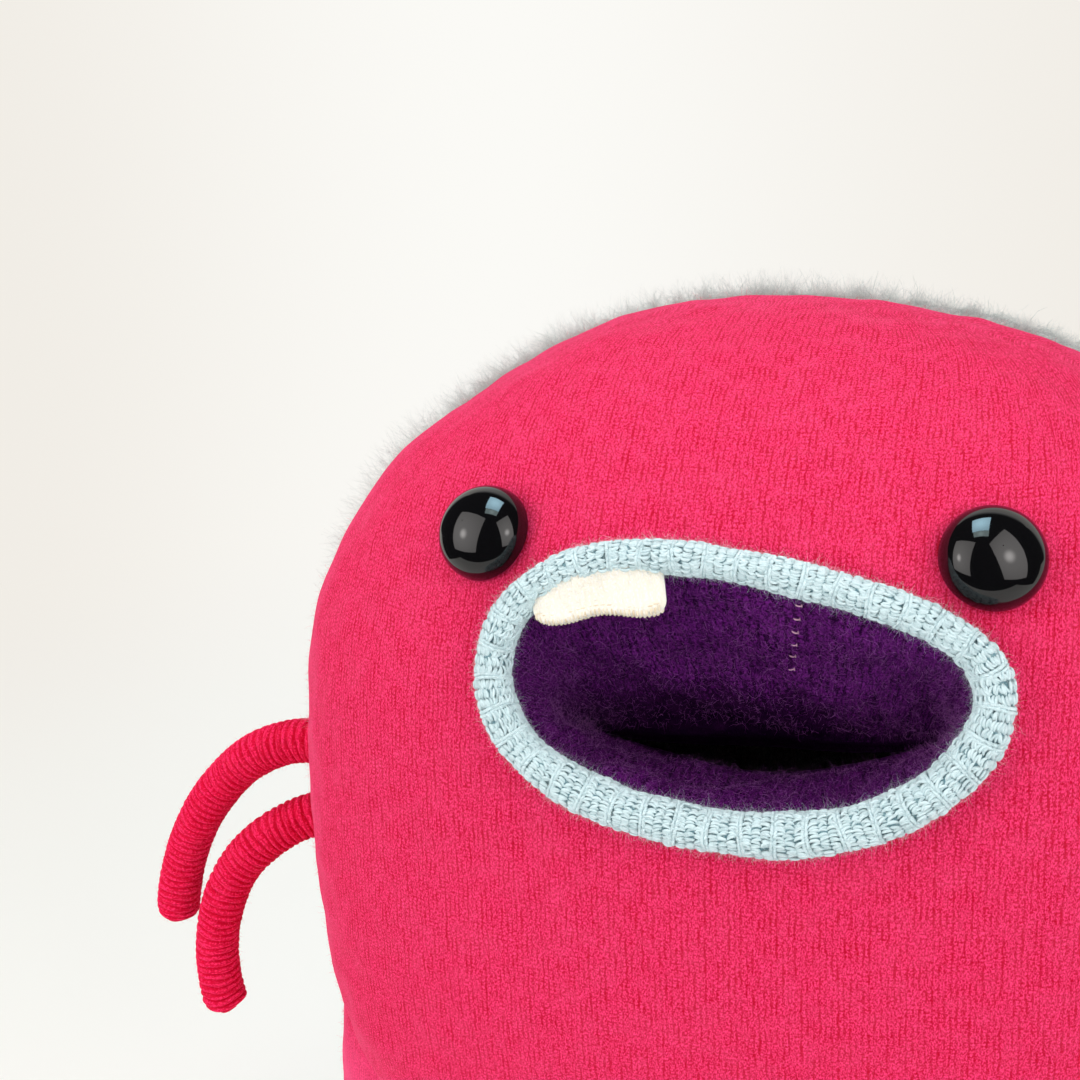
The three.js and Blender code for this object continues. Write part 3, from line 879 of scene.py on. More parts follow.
@dataclass
class BodyForm:
    """The stuffed body and its legs: sections that swell to the widest level and close again."""

    half_width: float = 175.0
    front_depth: float = 126.0
    back_depth: float = 131.0
    height: float = 384.0
    widest: float = 198.0
    bottom: float = 29.0
    crown_power: float = 2.72
    crown_roundness: float = 2.1
    belly_power: float = 2.8
    belly_roundness: float = 2.33
    section_power: float = 2.55
    side_seam_y: float = -8.0
    crown_seam_y: float = 22.0
    leg_inset: float = 47.0
    leg_half_width: float = 58.5
    leg_half_depth: float = 60.0
    leg_reach: float = 150.0
    leg_shoulder: float = 5.0
    ankle_share: float = 0.9
    swell_height: float = 34.0

    def share(self, z: np.ndarray) -> np.ndarray:
        """Measure the section at a height.

        Args:
            z: heights.

        Returns:
            Its size against the widest one.
        """
        upper = z >= self.widest
        span = np.where(upper, self.height - self.widest, self.widest - self.bottom)
        t = np.minimum(np.abs(z - self.widest) / span, 1.0)
        power = np.where(upper, self.crown_power, self.belly_power)
        roundness = np.where(upper, self.crown_roundness, self.belly_roundness)
        return (1 - t**power) ** (1 / roundness)

    def front(self, x: np.ndarray, z: np.ndarray) -> np.ndarray:
        """Find the front surface.

        Args:
            x: places across.
            z: heights.

        Returns:
            Its points.
        """
        share = self.share(z)
        across = np.abs(x / (self.half_width * share)) ** self.section_power
        depth = np.maximum(1 - across, 0.0) ** (1 / self.section_power)
        return stacked(x, -self.front_depth * share * depth, z)

    def normal(self, x: np.ndarray, z: np.ndarray) -> np.ndarray:
        """Find the slope of the front surface.

        Args:
            x: places across.
            z: heights.

        Returns:
            Its outward normals.
        """
        step = 0.5
        across = self.front(x + step, z) - self.front(x - step, z)
        up = self.front(x, z + step) - self.front(x, z - step)
        return unit(np.cross(across, up))

    def eye_seat(self, side: int) -> tuple[np.ndarray, np.ndarray]:
        """Return the place of an eye on the front surface, and the normal there."""
        x, z = np.array(side * EYE_X), np.array(EYE_Z)
        return self.front(x, z), self.normal(x, z)

    def depth(self, y: np.ndarray) -> np.ndarray:
        """Return the depth of the widest section on the side where y lies."""
        return np.where(y < 0, self.front_depth, self.back_depth)

    def gauge(self, points: np.ndarray) -> np.ndarray:
        """Measure how far out points lie.

        Args:
            points: points in the frame.

        Returns:
            The size of the section that would pass through each.
        """
        power = self.section_power
        x = np.abs(points[:, 0] / self.half_width) ** power
        return (x + np.abs(points[:, 1] / self.depth(points[:, 1])) ** power) ** (1 / power)

    def seam_y(self, z: np.ndarray) -> np.ndarray:
        """Return where the front panel meets the back at a height."""
        low, high = self.side_seam_y, self.crown_seam_y
        return low + (high - low) * smooth_step(self.widest, self.height, z)

    def leg_share(self, z: np.ndarray) -> np.ndarray:
        """Measure a leg's section at a height.

        Args:
            z: heights.

        Returns:
            Its size against the full one.
        """
        swell = np.sin(np.minimum(z / self.swell_height, 1.0) * math.pi / 2)
        ankle = self.ankle_share + (1 - self.ankle_share) * swell
        return ankle * np.sqrt(1 - np.minimum(z / self.leg_reach, 1.0) ** self.leg_shoulder)

    def leg_middle(self, side: int) -> float:
        """Return the x of a leg's middle."""
        return side * (self.half_width - self.leg_inset)

    def section(self, half_width: float, half_depth: float, sides: int) -> np.ndarray:
        """Draw the outline of one section.

        Args:
            half_width: its reach to a side.
            half_depth: its reach to the front.
            sides: how many points it has.

        Returns:
            The x and y of its points.
        """
        turn, power = circle(sides), 2 / self.section_power
        x = half_width * signed_power(np.cos(turn), power)
        return stacked(x, half_depth * signed_power(np.sin(turn), power))

    def leg_section(self, z: float, sides: int) -> np.ndarray:
        """Return the outline of a leg at a height, round the leg's own middle."""
        share = float(self.leg_share(np.array(z)))
        return self.section(self.leg_half_width * share, self.leg_half_depth * share, sides)

    def torso(self, levels: int = 72, sides: int = 144) -> Shell:
        """Make the body without its legs.

        Args:
            levels: how many sections it has.
            sides: the points of a section.

        Returns:
            The closed form.
        """
        rings = []
        for k in range(levels + 1):
            turn = -math.pi / 2 + math.pi * (k + 0.02) / (levels + 0.04)
            reach = self.height - self.widest if turn > 0 else self.widest - self.bottom
            z = self.widest + reach * math.sin(turn)
            share = float(self.share(np.array(z)))
            x, y = (self.section(1.0, 1.0, sides) * share).T
            rings.append(stacked(x * self.half_width, y * self.depth(y), z))
        return closed_tube(rings)

    def leg(self, side: int, low: float, levels: int = 40, sides: int = 72) -> Shell:
        """Make one leg.

        Args:
            side: -1 or 1, the side it is on.
            low: the height where it begins.
            levels: how many sections it has.
            sides: the points of a section.

        Returns:
            The closed form.
        """
        rings = []
        for k in range(levels + 1):
            z = low + (self.leg_reach - 0.01 - low) * math.sin(k / levels * math.pi / 2)
            x, y = self.leg_section(z, sides).T
            rings.append(stacked(x + self.leg_middle(side), y, z))
        return closed_tube(rings)


@dataclass
class MouthForm:
    """The hand-sewn edge of the mouth, the roll along it and the lining behind it."""

    body: BodyForm
    x: float = 4.2
    z: float = 291.3
    half_width: float = 71.2
    half_height: float = 36.6
    lean: float = -2.0
    egg: float = 1.7
    skew: float = 2.6
    droop: float = -1.1
    lobe: float = 1.5
    second_lobe: float = 0.9
    lip_radius: float = 6.4
    lip_top_radius: float = 4.7
    lip_stand_off: float = 3.5
    lining_inset: float = 3.2
    crease_x: float = -8.0
    crease_y: float = -58.0
    crease_z: float = 247.0
    crease_half_width: float = 56.0
    crease_half_gap: float = 2.2
    crease_rise: float = 15.0
    crease_forward: float = 14.0
    crease_span: float = 60.0
    samples: int = 1440
    sample_step: int = 8
    line: np.ndarray = field(init=False)
    arc: np.ndarray = field(init=False)

    def __post_init__(self) -> None:
        """Measure the line along which the lip's roll runs."""
        angles = np.linspace(0, 2 * math.pi, self.samples + 1)
        self.line = self.edge(angles, 0.0, self.lip_stand_off)
        self.arc = lengths_along(self.line)

    def flat(self, angle: np.ndarray, inset: float) -> tuple[np.ndarray, np.ndarray]:
        """Draw the mouth's edge from the front.

        Args:
            angle: where round the mouth.
            inset: how far the edge is moved inwards.

        Returns:
            The x and z of its points.
        """
        cos, sin = np.cos(angle), np.sin(angle)
        cos2, sin2 = np.cos(2 * angle), np.sin(2 * angle)
        x = self.x + (self.half_width - inset) * cos + self.lean * sin
        x = x + self.egg * cos2 + self.skew * sin2
        z = self.z + (self.half_height - inset) * sin + self.droop * sin2
        z = z + self.lobe * np.cos(3 * angle) + self.second_lobe * np.sin(3 * angle)
        return x, z

    def edge(self, angle: np.ndarray, inset: float, lift: float) -> np.ndarray:
        """Return points of the mouth's edge, inset and lifted off the body."""
        x, z = self.flat(angle, inset)
        return self.body.front(x, z) + lift * self.body.normal(x, z)

    def length(self) -> float:
        """Return the length of the lip's middle line."""
        return float(self.arc[-1])

    def at(self, run: np.ndarray) -> tuple[np.ndarray, np.ndarray, np.ndarray, np.ndarray]:
        """Find the lip's middle line at some lengths along it.

        Args:
            run: lengths along the line, which starts at the mouth's right corner.

        Returns:
            Points, and the directions along, out of the body and into the mouth.
        """
        def place(s: np.ndarray) -> np.ndarray:
            s = np.mod(s, self.length())
            return stacked(*(np.interp(s, self.arc, self.line[:, k]) for k in range(3)))

        step = 0.8
        centre = place(run)
        along = unit(place(run + step) - place(run - step))
        out = self.body.normal(centre[..., 0], centre[..., 2])
        inward = unit(np.cross(out, along))
        return centre, along, unit(np.cross(along, inward)), inward

    def radius(self, z: np.ndarray) -> np.ndarray:
        """Return the roll's radius at a height: it is stretched thinner along the top."""
        share = np.clip(0.5 + (z - self.z) / (2 * self.half_height), 0.0, 1.0)
        return self.lip_radius + (self.lip_top_radius - self.lip_radius) * share

    def inside(self, points: np.ndarray) -> np.ndarray:
        """Tell the points inside the mouth's edge from the others.

        Args:
            points: points of the body.

        Returns:
            How far inside they lie, about in millimetres.
        """
        x, z = self.flat(np.linspace(0, 2 * math.pi, 361), 0.0)
        angle = np.arctan2(z - self.z, x - self.x)
        reach = np.hypot(x - self.x, z - self.z)
        order = np.argsort(angle)
        at = np.arctan2(points[:, 2] - self.z, points[:, 0] - self.x)
        edge = np.interp(at, angle[order], reach[order], period=2 * math.pi)
        inner = edge - np.hypot(points[:, 0] - self.x, points[:, 2] - self.z)
        return np.where(points[:, 1] < 0, inner, -np.inf)

    def off_line(self, points: np.ndarray) -> tuple[np.ndarray, np.ndarray]:
        """Measure points against the lip's line.

        Args:
            points: points in the frame.

        Returns:
            Their distance from it, and the length along it there.
        """
        best = np.full(len(points), np.inf)
        run = np.zeros(len(points))
        for start in range(0, self.samples, self.sample_step):
            gap = np.linalg.norm(points - self.line[start], axis=1)
            nearer = gap < best
            best = np.where(nearer, gap, best)
            run = np.where(nearer, self.arc[start], run)
        return best, run

    def crease(self, angle: np.ndarray) -> np.ndarray:
        """Draw the fold at the back of the mouth.

        Args:
            angle: where round the mouth.

        Returns:
            Its points.
        """
        x = self.x + self.crease_half_width * np.cos(angle)
        off = ((x - self.crease_x) / self.crease_span) ** 2
        z = self.crease_z + self.crease_rise * off + self.crease_half_gap * np.sin(angle)
        return stacked(x, self.crease_y - self.crease_forward * off, z)

    def lining(self, angle: np.ndarray, share: np.ndarray) -> np.ndarray:
        """Return points of the lining, a share of the way from the lip to the fold."""
        edge = self.edge(angle, self.lining_inset, 0.0)
        return edge + (self.crease(angle) - edge) * share[..., None]


# Pieces


@dataclass
class KnitBody:
    """The pink front panel and the grey mohair back, sewn together and stuffed.

    Each of the pulls is a soft hollow or swelling of the stuffing: x, y, z, reach and rise.
    The hips' pulls are on both sides.
    """

    body: BodyForm
    mouth: MouthForm
    voxel: float = 3.0
    soft_rounds: int = 36
    sole_top: float = 2.8
    seam_depth: float = 1.2
    seam_width: float = 3.2
    seam_overlap: float = 5.0
    seam_slope: float = 0.9
    eye_pull: float = 1.4
    eye_reach: float = 19.0
    eye_clear: float = 16.5
    lip_pull: float = 1.0
    lip_reach: float = 10.0
    pucker_height: float = 0.35
    pucker_pitch: float = 9.2
    lump_height: float = 0.6
    puff_height: float = 0.3
    # Strength of the painted pale light low on the outer sides of the legs.
    pale_light_share: float = 0.3
    pulls: tuple[tuple[float, float, float, float, float], ...] = (
        (-108.0, -8.0, 355.0, 26.0, -2.8),
        (-131.0, -25.0, 336.0, 24.0, 1.6),
        (-50.0, 20.0, 378.0, 42.0, 1.8),
        (2.0, 23.0, 382.0, 34.0, 1.6),
        (95.0, 34.0, 362.0, 40.0, 3.0),
        (-152.0, -44.0, 300.0, 34.0, 1.2),
    )
    hip_pulls: tuple[tuple[float, float, float, float, float], ...] = (
        (180.0, -34.0, 72.0, 30.0, -1.8),
        (178.0, -34.0, 97.0, 13.0, -1.6),
        (172.0, -40.0, 112.0, 11.0, 1.6),
    )
    fuzz_count: int = 16000
    fuzz_length: float = 2.4
    fuzz_fibre: Fibre = Fibre(0.07, curl=0.5, lift=0.35, spread=0.6, seed=23, sunk=0.1)
    mohair_fibre: Fibre = Fibre(0.105, curl=0.45, lift=0.75, spread=0.35, seed=33, sunk=0.2)
    # One strand stands for a bundle of some thirty fibres, so it is drawn 0.3 mm wide.
    tuft_fibre: Fibre = Fibre(0.3, curl=0.3, lift=0.42, spread=0.22, seed=37, sunk=0.2)
    mohair_count: int = 30000
    seam_mohair_count: int = 56000
    seam_tries: int = 500000
    fringe_reach: float = 10.0
    mohair_length: float = 12.0
    tuft_count: int = 30000
    tuft_length: float = 11.0
    skin: Shell = field(init=False)

    def melt(self) -> None:
        """Make the whole skin: body and legs in one, with soft junctions and pulls."""
        low = self.sole_top - 1.4
        forms = [self.body.torso(), self.body.leg(-1, low), self.body.leg(1, low)]
        skin = voxel_union(forms, self.voxel)
        junction = self.leg_share_at(skin.points)
        skin.smooth(self.soft_rounds, np.clip(4 * junction * (1 - junction), 0.06, 1.0))
        skin = skin.kept([m[:, 2] > self.sole_top - 0.7 for m in skin.middles()])
        points = skin.points
        skin.points = points + skin.normals() * self.rise(points)[:, None]
        skin.knit = self.flat_pattern(points)
        # Painted light: a negative tone gives a pale haze low on the outer sides of the legs.
        pale_light_mask = smooth_step(118.0, 178.0, np.abs(points[:, 0]))
        skin.tone = -self.pale_light_share * pale_light_mask * smooth_step(118.0, 84.0, points[:, 2])
        self.skin = skin

    def rise(self, points: np.ndarray) -> np.ndarray:
        """Lift the skin by the stuffing: lumps, pulls, eyes and a puckered lip.

        Args:
            points: points of the skin.

        Returns:
            How far outwards each one goes.
        """
        rise = self.lump_height * lumps(points, 75.0, 4) + self.puff_height * lumps(points, 19.0, 5)
        rise *= smooth_step(4.0, 40.0, points[:, 2])
        hips = [(side * x, *rest) for x, *rest in self.hip_pulls for side in (-1, 1)]
        for x, y, z, reach, height in (*self.pulls, *hips):
            rise += height * bell(np.linalg.norm(points - [x, y, z], axis=1), reach)
        for side in (-1, 1):
            gap = np.linalg.norm(points - self.body.eye_seat(side)[0], axis=1)
            rise -= self.eye_pull * bell(gap, self.eye_reach)
        gap, run = self.mouth.off_line(points)
        pucker = self.pucker_height * np.sin(run * 2 * math.pi / self.pucker_pitch)
        near_lip = bell(gap, self.lip_reach)
        return rise * (1 - near_lip) - (self.lip_pull + pucker) * near_lip

    def leg_share_at(self, points: np.ndarray) -> np.ndarray:
        """Tell the legs from the body.

        Args:
            points: points of the skin.

        Returns:
            1 on a leg, 0 on the body and a smooth change at the junction.
        """
        x = np.abs(points[:, 0]) - (self.body.half_width - self.body.leg_inset)
        power = self.body.section_power
        reach = np.abs(x / self.body.leg_half_width) ** power
        reach = reach + np.abs(points[:, 1] / self.body.leg_half_depth) ** power
        beside = smooth_step(1.35, 1.02, reach ** (1 / power))
        return beside * smooth_step(self.body.leg_reach, 90.0, points[:, 2])

    def flat_pattern(self, points: np.ndarray) -> np.ndarray:
        """Lay the knitted panel flat, so that its wales run straight up from belly to crown.

        Args:
            points: places on the skin.

        Returns:
            Distance across and along the flat panel, in millimetres.
        """
        body = self.body
        turn = np.linspace(0, math.pi / 2, 400)
        flat = signed_power(stacked(np.sin(turn), np.cos(turn)), 2 / body.section_power)
        curve = flat * [body.half_width, body.front_depth]
        slope = np.arctan2(curve[:, 0] / body.half_width, curve[:, 1] / body.front_depth)
        x, y, height = points.T
        at = np.arctan2(np.abs(x) / body.half_width, np.abs(y) / body.depth(y))
        gauge = body.gauge(points)
        across = gauge * np.interp(at, slope, lengths_along(curve)) * np.sign(x)
        angle = np.linspace(-math.pi / 2, math.pi / 2, 1200)
        reach = np.where(angle > 0, body.height - body.widest, body.widest - body.bottom)
        z = body.widest + reach * np.sin(angle)
        share = body.share(z)
        up = lengths_along(stacked(z, share * body.front_depth))
        up -= np.interp(body.widest, z, up)
        by_height = np.interp(height, z, up)
        crown = angle > 0
        by_gauge = np.interp(-gauge, -share[crown], up[crown])
        along = by_height + (by_gauge - by_height) * smooth_step(335.0, 365.0, height)
        along = along + (height - body.widest - along) * self.leg_share_at(points)
        return stacked(across, along)

    def panel(self, side: int) -> Shell:
        """Cut one panel from the skin and roll its edge into the seam.

        Args:
            side: -1 for the front, 1 for the back.

        Returns:
            The panel, open at the mouth and at the soles.
        """
        skin = self.skin
        past = (skin.points[:, 1] - self.body.seam_y(skin.points[:, 2])) * -side
        keep = [past[g].min(axis=1) < self.seam_overlap for g in skin.faces]
        if side < 0:
            inner = [self.mouth.inside(m) for m in skin.middles()]
            keep = [k & (i < 0.4) for k, i in zip(keep, inner)]
        rolled_in = self.seam_depth + self.seam_slope * past
        sink = np.where(past < 0, self.seam_depth * bell(past, self.seam_width), rolled_in)
        gather = lumps(skin.points, 11.0, 8) * 0.35 * bell(past, 7.0)
        rolled = skin.points - skin.normals() * (sink + gather)[:, None]
        return Shell(rolled, skin.faces, skin.knit, skin.tone if side < 0 else None).kept(keep)

    def fuzz(self, front: Shell) -> Shell:
        """Raise the short fibres of the felted pink panel.

        Args:
            front: the panel.

        Returns:
            The fibres.
        """
        rng = np.random.default_rng(21)
        roots, normals = scatter(front, self.fuzz_count, 22)
        clear = self.mouth.inside(roots) < -4.0
        for side in (-1, 1):
            eye = self.body.eye_seat(side)[0]
            clear &= np.linalg.norm(roots - eye, axis=1) > self.eye_clear
        roots, normals = roots[clear], normals[clear]
        heads = self.fuzz_fibre.heads(normals, rng)
        length = self.fuzz_length * rng.uniform(0.5, 1.5, len(roots))
        return self.fuzz_fibre.grow(roots, normals, heads, length)

    def mohair(self, back: Shell) -> Shell:
        """Comb the long fibres of the back, thickest along the seam.

        Args:
            back: the panel.

        Returns:
            The fibres.
        """
        rng = np.random.default_rng(31)
        roots, normals = scatter(back, self.mohair_count + self.seam_tries, 32)
        past = roots[:, 1] - self.body.seam_y(roots[:, 2])
        near = (past < self.fringe_reach) & (past > -1.0) & (roots[:, 2] > 120.0)
        spare = np.arange(len(roots)) >= self.mohair_count
        extra = np.flatnonzero(near & spare)[: self.seam_mohair_count]
        chosen = np.concatenate([np.flatnonzero(~spare & (past > -1.0)), extra])
        roots, normals, past = roots[chosen], normals[chosen], past[chosen]
        combed = np.array([0.0, 0.1, -1.0])
        tuft = stacked(*(lumps(roots, 9.0, 40 + k) for k in range(3)))
        heads = self.mohair_fibre.heads(normals, rng, combed * 0.35 + tuft * 0.4)
        length = self.mohair_length * rng.uniform(0.45, 1.15, len(roots))
        x, _, z = roots.T
        length = length * (0.6 + 0.4 * smooth_step(60.0, 200.0, z))
        length = length * smooth_step(-2.0, 16.0, z) * np.where(past < self.fringe_reach, 0.8, 1.0)
        # The photo's fringe stands up on the sides, is longer on the shoulders and short at right.
        shoulder = smooth_step(45.0, 105.0, np.abs(x)) * smooth_step(220.0, 290.0, z)
        side = smooth_step(105.0, 160.0, np.abs(x)) * smooth_step(150.0, 200.0, z)
        side = side * smooth_step(365.0, 325.0, z) * (past < self.fringe_reach)
        heads = heads + side[:, None] * (normals * 0.9 - combed * 0.25)
        right = smooth_step(15.0, 80.0, x) * smooth_step(300.0, 340.0, z)
        length = length * (1 + 0.25 * shoulder + 0.8 * side) * (1 - 0.5 * right)
        heads[:, 2] = np.where(z < 14.0, np.abs(heads[:, 2]), heads[:, 2])
        fine = self.mohair_fibre.grow(roots, normals, heads, length)
        return joined([fine, self.brushed_tufts(back)])

    def brushed_tufts(self, back: Shell) -> Shell:
        """Lay bundles of fibres, combed down, over the back away from the seam.

        Args:
            back: the panel.

        Returns:
            The bundles.
        """
        rng = np.random.default_rng(35)
        roots, normals = scatter(back, self.tuft_count, 36)
        past = roots[:, 1] - self.body.seam_y(roots[:, 2])
        roots, normals, past = roots[past > 12.0], normals[past > 12.0], past[past > 12.0]
        sway = stacked(*(lumps(roots, 16.0, 44 + k) for k in range(3)))
        heads = self.tuft_fibre.heads(normals, rng, np.array([0.0, 0.0, -0.7]) + sway * 0.55)
        z = roots[:, 2]
        heads[:, 2] = np.where(z < 16.0, np.abs(heads[:, 2]), heads[:, 2])
        length = self.tuft_length * rng.uniform(0.6, 1.2, len(roots)) * smooth_step(0.0, 26.0, z)
        length = length * smooth_step(10.0, 24.0, past) + 0.6
        return self.tuft_fibre.grow(roots, normals, heads, length)

    def build(self) -> None:
        """Make both panels with their fibres and let them ride on the torso."""
        self.melt()
        front, back = self.panel(-1), self.panel(1)
        # Lightly felted wool: its stitches stay clear under a thin haze.
        pink = WoolKnit(
            "felted_pink_stockinette", "#ff4282", "#c20029", "#fd6496", wale=1.75, course=1.15,
            felting=0.2, grain=0.45, grain_share=0.38, fibre_share=0.2, lit_from=0.42,
            lit_to=0.88, rim=0.25, drift=0.8,
        ).build()
        hair = LooseFibre("pink_wool_fuzz", "#f32a5c", "#fb5580").build()
        # Brushed mohair: a pale coat of fibres that nearly hides the stitches.
        grey = WoolKnit(
            "brushed_grey_mohair_knit", "#e8ebea", "#b3baba", "#f4f6f5", wale=3.2, course=2.4,
            felting=0.75, depth=1.0, mottle=14.0, fibre=3.0, sheen=0.3, sheen_tint="#ffffff",
        ).build()
        mohair = LooseFibre("grey_mohair_fibre", "#ccd4d2", "#f8faf9", through=0.5).build()
        panel = add_piece("knit_front_panel", front, pink)
        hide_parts("front_panel", "body_stuffing")
        rear = add_piece("mohair_back_panel", back, grey)
        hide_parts("back_panel")
        fuzz = add_piece("front_panel_fuzz", self.fuzz(front), hair)
        fleece = add_piece("back_panel_mohair", self.mohair(back), mohair)
        for piece, slot in ((panel, "pink_knit"), (fuzz, "pink_knit"), (rear, "grey_knit"),
                            (fleece, "grey_knit")):
            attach(piece, "torso")


@dataclass
class RolledLip:
    """A band of rib knit rolled on itself and sewn round the mouth."""

    mouth: MouthForm
    ribs: int = 38
    core_share: float = 0.86
    purls: int = 3
    rows: int = 38
    first_turn: float = -75.0
    last_turn: float = 225.0
    knit_share: float = 0.15
    fuzz_count: int = 30000
    fuzz_fibre: Fibre = Fibre(0.06, curl=0.6, lift=0.3, spread=0.6, seed=62)

    def surface(
        self, run: np.ndarray, turn: np.ndarray, lift: np.ndarray | float
    ) -> tuple[np.ndarray, np.ndarray, np.ndarray]:
        """Find places on the roll.

        Args:
            run: length along the lip.
            turn: angle round the roll, 0 into the mouth and 90 degrees out of the body.
            lift: height above the core.

        Returns:
            Points, the directions along the lip and away from the roll's middle.
        """
        centre, along, out, inward = self.mouth.at(run)
        away = inward * np.cos(turn)[..., None] + out * np.sin(turn)[..., None]
        # Two waves of unlike length make the roll swell unevenly.
        puff = 1 + 0.045 * np.sin(run * 2 * math.pi / 31.0) + 0.03 * np.sin(run / 9.0 + 1.0)
        reach = self.mouth.radius(centre[..., 2]) * self.core_share * puff + lift
        return centre + away * reach[..., None], along, away

    def core(self, stations: int = 760, sides: int = 32) -> Shell:
        """Make the roll under the stitches, pulled in between the ribs.

        Args:
            stations: how many rings it has.
            sides: the points of a ring.

        Returns:
            The roll.
        """
        run = np.arange(stations)[:, None] * self.mouth.length() / stations
        run, turn = np.broadcast_arrays(run, circle(sides))
        phase = run / self.mouth.length() * self.ribs * 2 * math.pi
        points = self.surface(run, turn, -0.1 - 0.35 * np.cos(phase))[0]
        # One row more than there are stations: the last row is the first one again.
        faces = grid_faces(stations + 1, sides, wrap=True) % (stations * sides)
        # A tone of 0 paints the core in the yarn's shadow colour: painted shade in the gaps between
        # the loops.
        return Shell(points.reshape(-1, 3), [faces], None, np.zeros(stations * sides))

    def stitches(self) -> Shell:
        """Return every loop of yarn that shows on the roll."""
        rng = np.random.default_rng(51)
        pitch = self.mouth.length() / self.ribs
        low, high = math.radians(self.first_turn), math.radians(self.last_turn)
        row = (high - low) / self.rows
        loops = self.purl_loops(rng, pitch, low, row)
        return joined([loops, self.rib_legs(rng, pitch, low, row)])

    def each(self, across: np.ndarray) -> tuple[np.ndarray, np.ndarray, np.ndarray]:
        """Count off the loops of one kind.

        Args:
            across: their places across a rib.

        Returns:
            The rib, the place across it and the row of every loop.
        """
        grid = np.meshgrid(np.arange(self.ribs), across, np.arange(self.rows), indexing="ij")
        rib, across, step = (g.ravel() for g in grid)
        return rib, across, step

    def purl_loops(
        self, rng: np.random.Generator, pitch: float, low: float, row: float
    ) -> Shell:
        """Return the bars of the purl columns between the ribs.

        Args:
            rng: source of the loops' unevenness.
            pitch: distance from rib to rib.
            low: angle round the roll where the first row lies.
            row: angle from row to row.

        Returns:
            All the bars.
        """
        width = pitch * (1 - self.knit_share) / self.purls
        rib, purl, step = self.each(np.arange(self.purls))
        run = rib * pitch + self.knit_share * pitch + (purl + 0.5) * width
        turn = low + (step + 0.5 + 0.5 * (purl % 2)) * row
        run = run + rng.normal(size=run.shape) * 0.2
        turn = turn + rng.normal(size=run.shape) * 0.035
        place, along, away = self.surface(run, turn, 0.15 + 0.25 * rng.normal(size=run.shape))
        tilt = rng.normal(size=run.shape) * 0.32
        tone = 0.8 + 0.12 * rng.normal(size=run.shape).clip(-1.5, 1.5)
        heads = along + np.cross(away, along) * tilt[:, None]
        return Loop(width * 1.2, 0.92, arch=0.3, bow=0.5).sew(place, heads, away, tone)

    def rib_legs(self, rng: np.random.Generator, pitch: float, low: float, row: float) -> Shell:
        """Return the V legs of the knit ribs.

        Args:
            rng: source of the legs' unevenness.
            pitch: distance from rib to rib.
            low: angle round the roll where the first row lies.
            row: angle from row to row.

        Returns:
            All the legs.
        """
        rib, side, step = self.each(np.array([-1, 1]))
        run = (rib + 0.5 * self.knit_share) * pitch + side * 0.5
        turn = low + (step + 0.5) * row
        run = run + 0.5 * np.sin(turn * 1.7 + rib * 2.1)
        place, along, away = self.surface(run, turn, 0.25 + 0.18 * rng.normal(size=run.shape))
        height = self.mouth.radius(place[:, 2]).mean() * row
        tone = 0.78 + 0.15 * rng.normal(size=run.shape).clip(-1.5, 1.5)
        heads = np.cross(away, along) + along * (0.55 * side)[:, None]
        return Loop(height * 2.0, 1.0, arch=0.2, bow=0.15).sew(place, heads, away, tone)

    def fuzz(self) -> Shell:
        """Return the soft fibres along the roll."""
        rng = np.random.default_rng(61)
        run = rng.uniform(0, self.mouth.length(), self.fuzz_count)
        turn = np.radians(rng.uniform(self.first_turn + 10, self.last_turn - 10, self.fuzz_count))
        place, _, away = self.surface(run, turn, 0.5)
        heads = self.fuzz_fibre.heads(away, rng)
        length = rng.gamma(3.0, 0.65, self.fuzz_count).clip(0.5, 5.0)
        return self.fuzz_fibre.grow(place, away, heads, length)

    def build(self) -> None:
        """Make the lip and let it ride on the torso."""
        # Softly spun lambswool: pale blue strands, with painted grey shade in the hollows between
        # them.
        yarn = Yarn("rib_knit_blue_lambswool", "#d3e8ed", "#688e99").build()
        hair = LooseFibre("blue_wool_fuzz", "#cbe6e9", "#f4fbfb").build()
        roll = add_piece("lip_roll", joined([self.core(), self.stitches()]), yarn)
        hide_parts("lip_band")
        fuzz = add_piece("lip_fuzz", self.fuzz(), hair)
        for piece in (roll, fuzz):
            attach(piece, "torso")


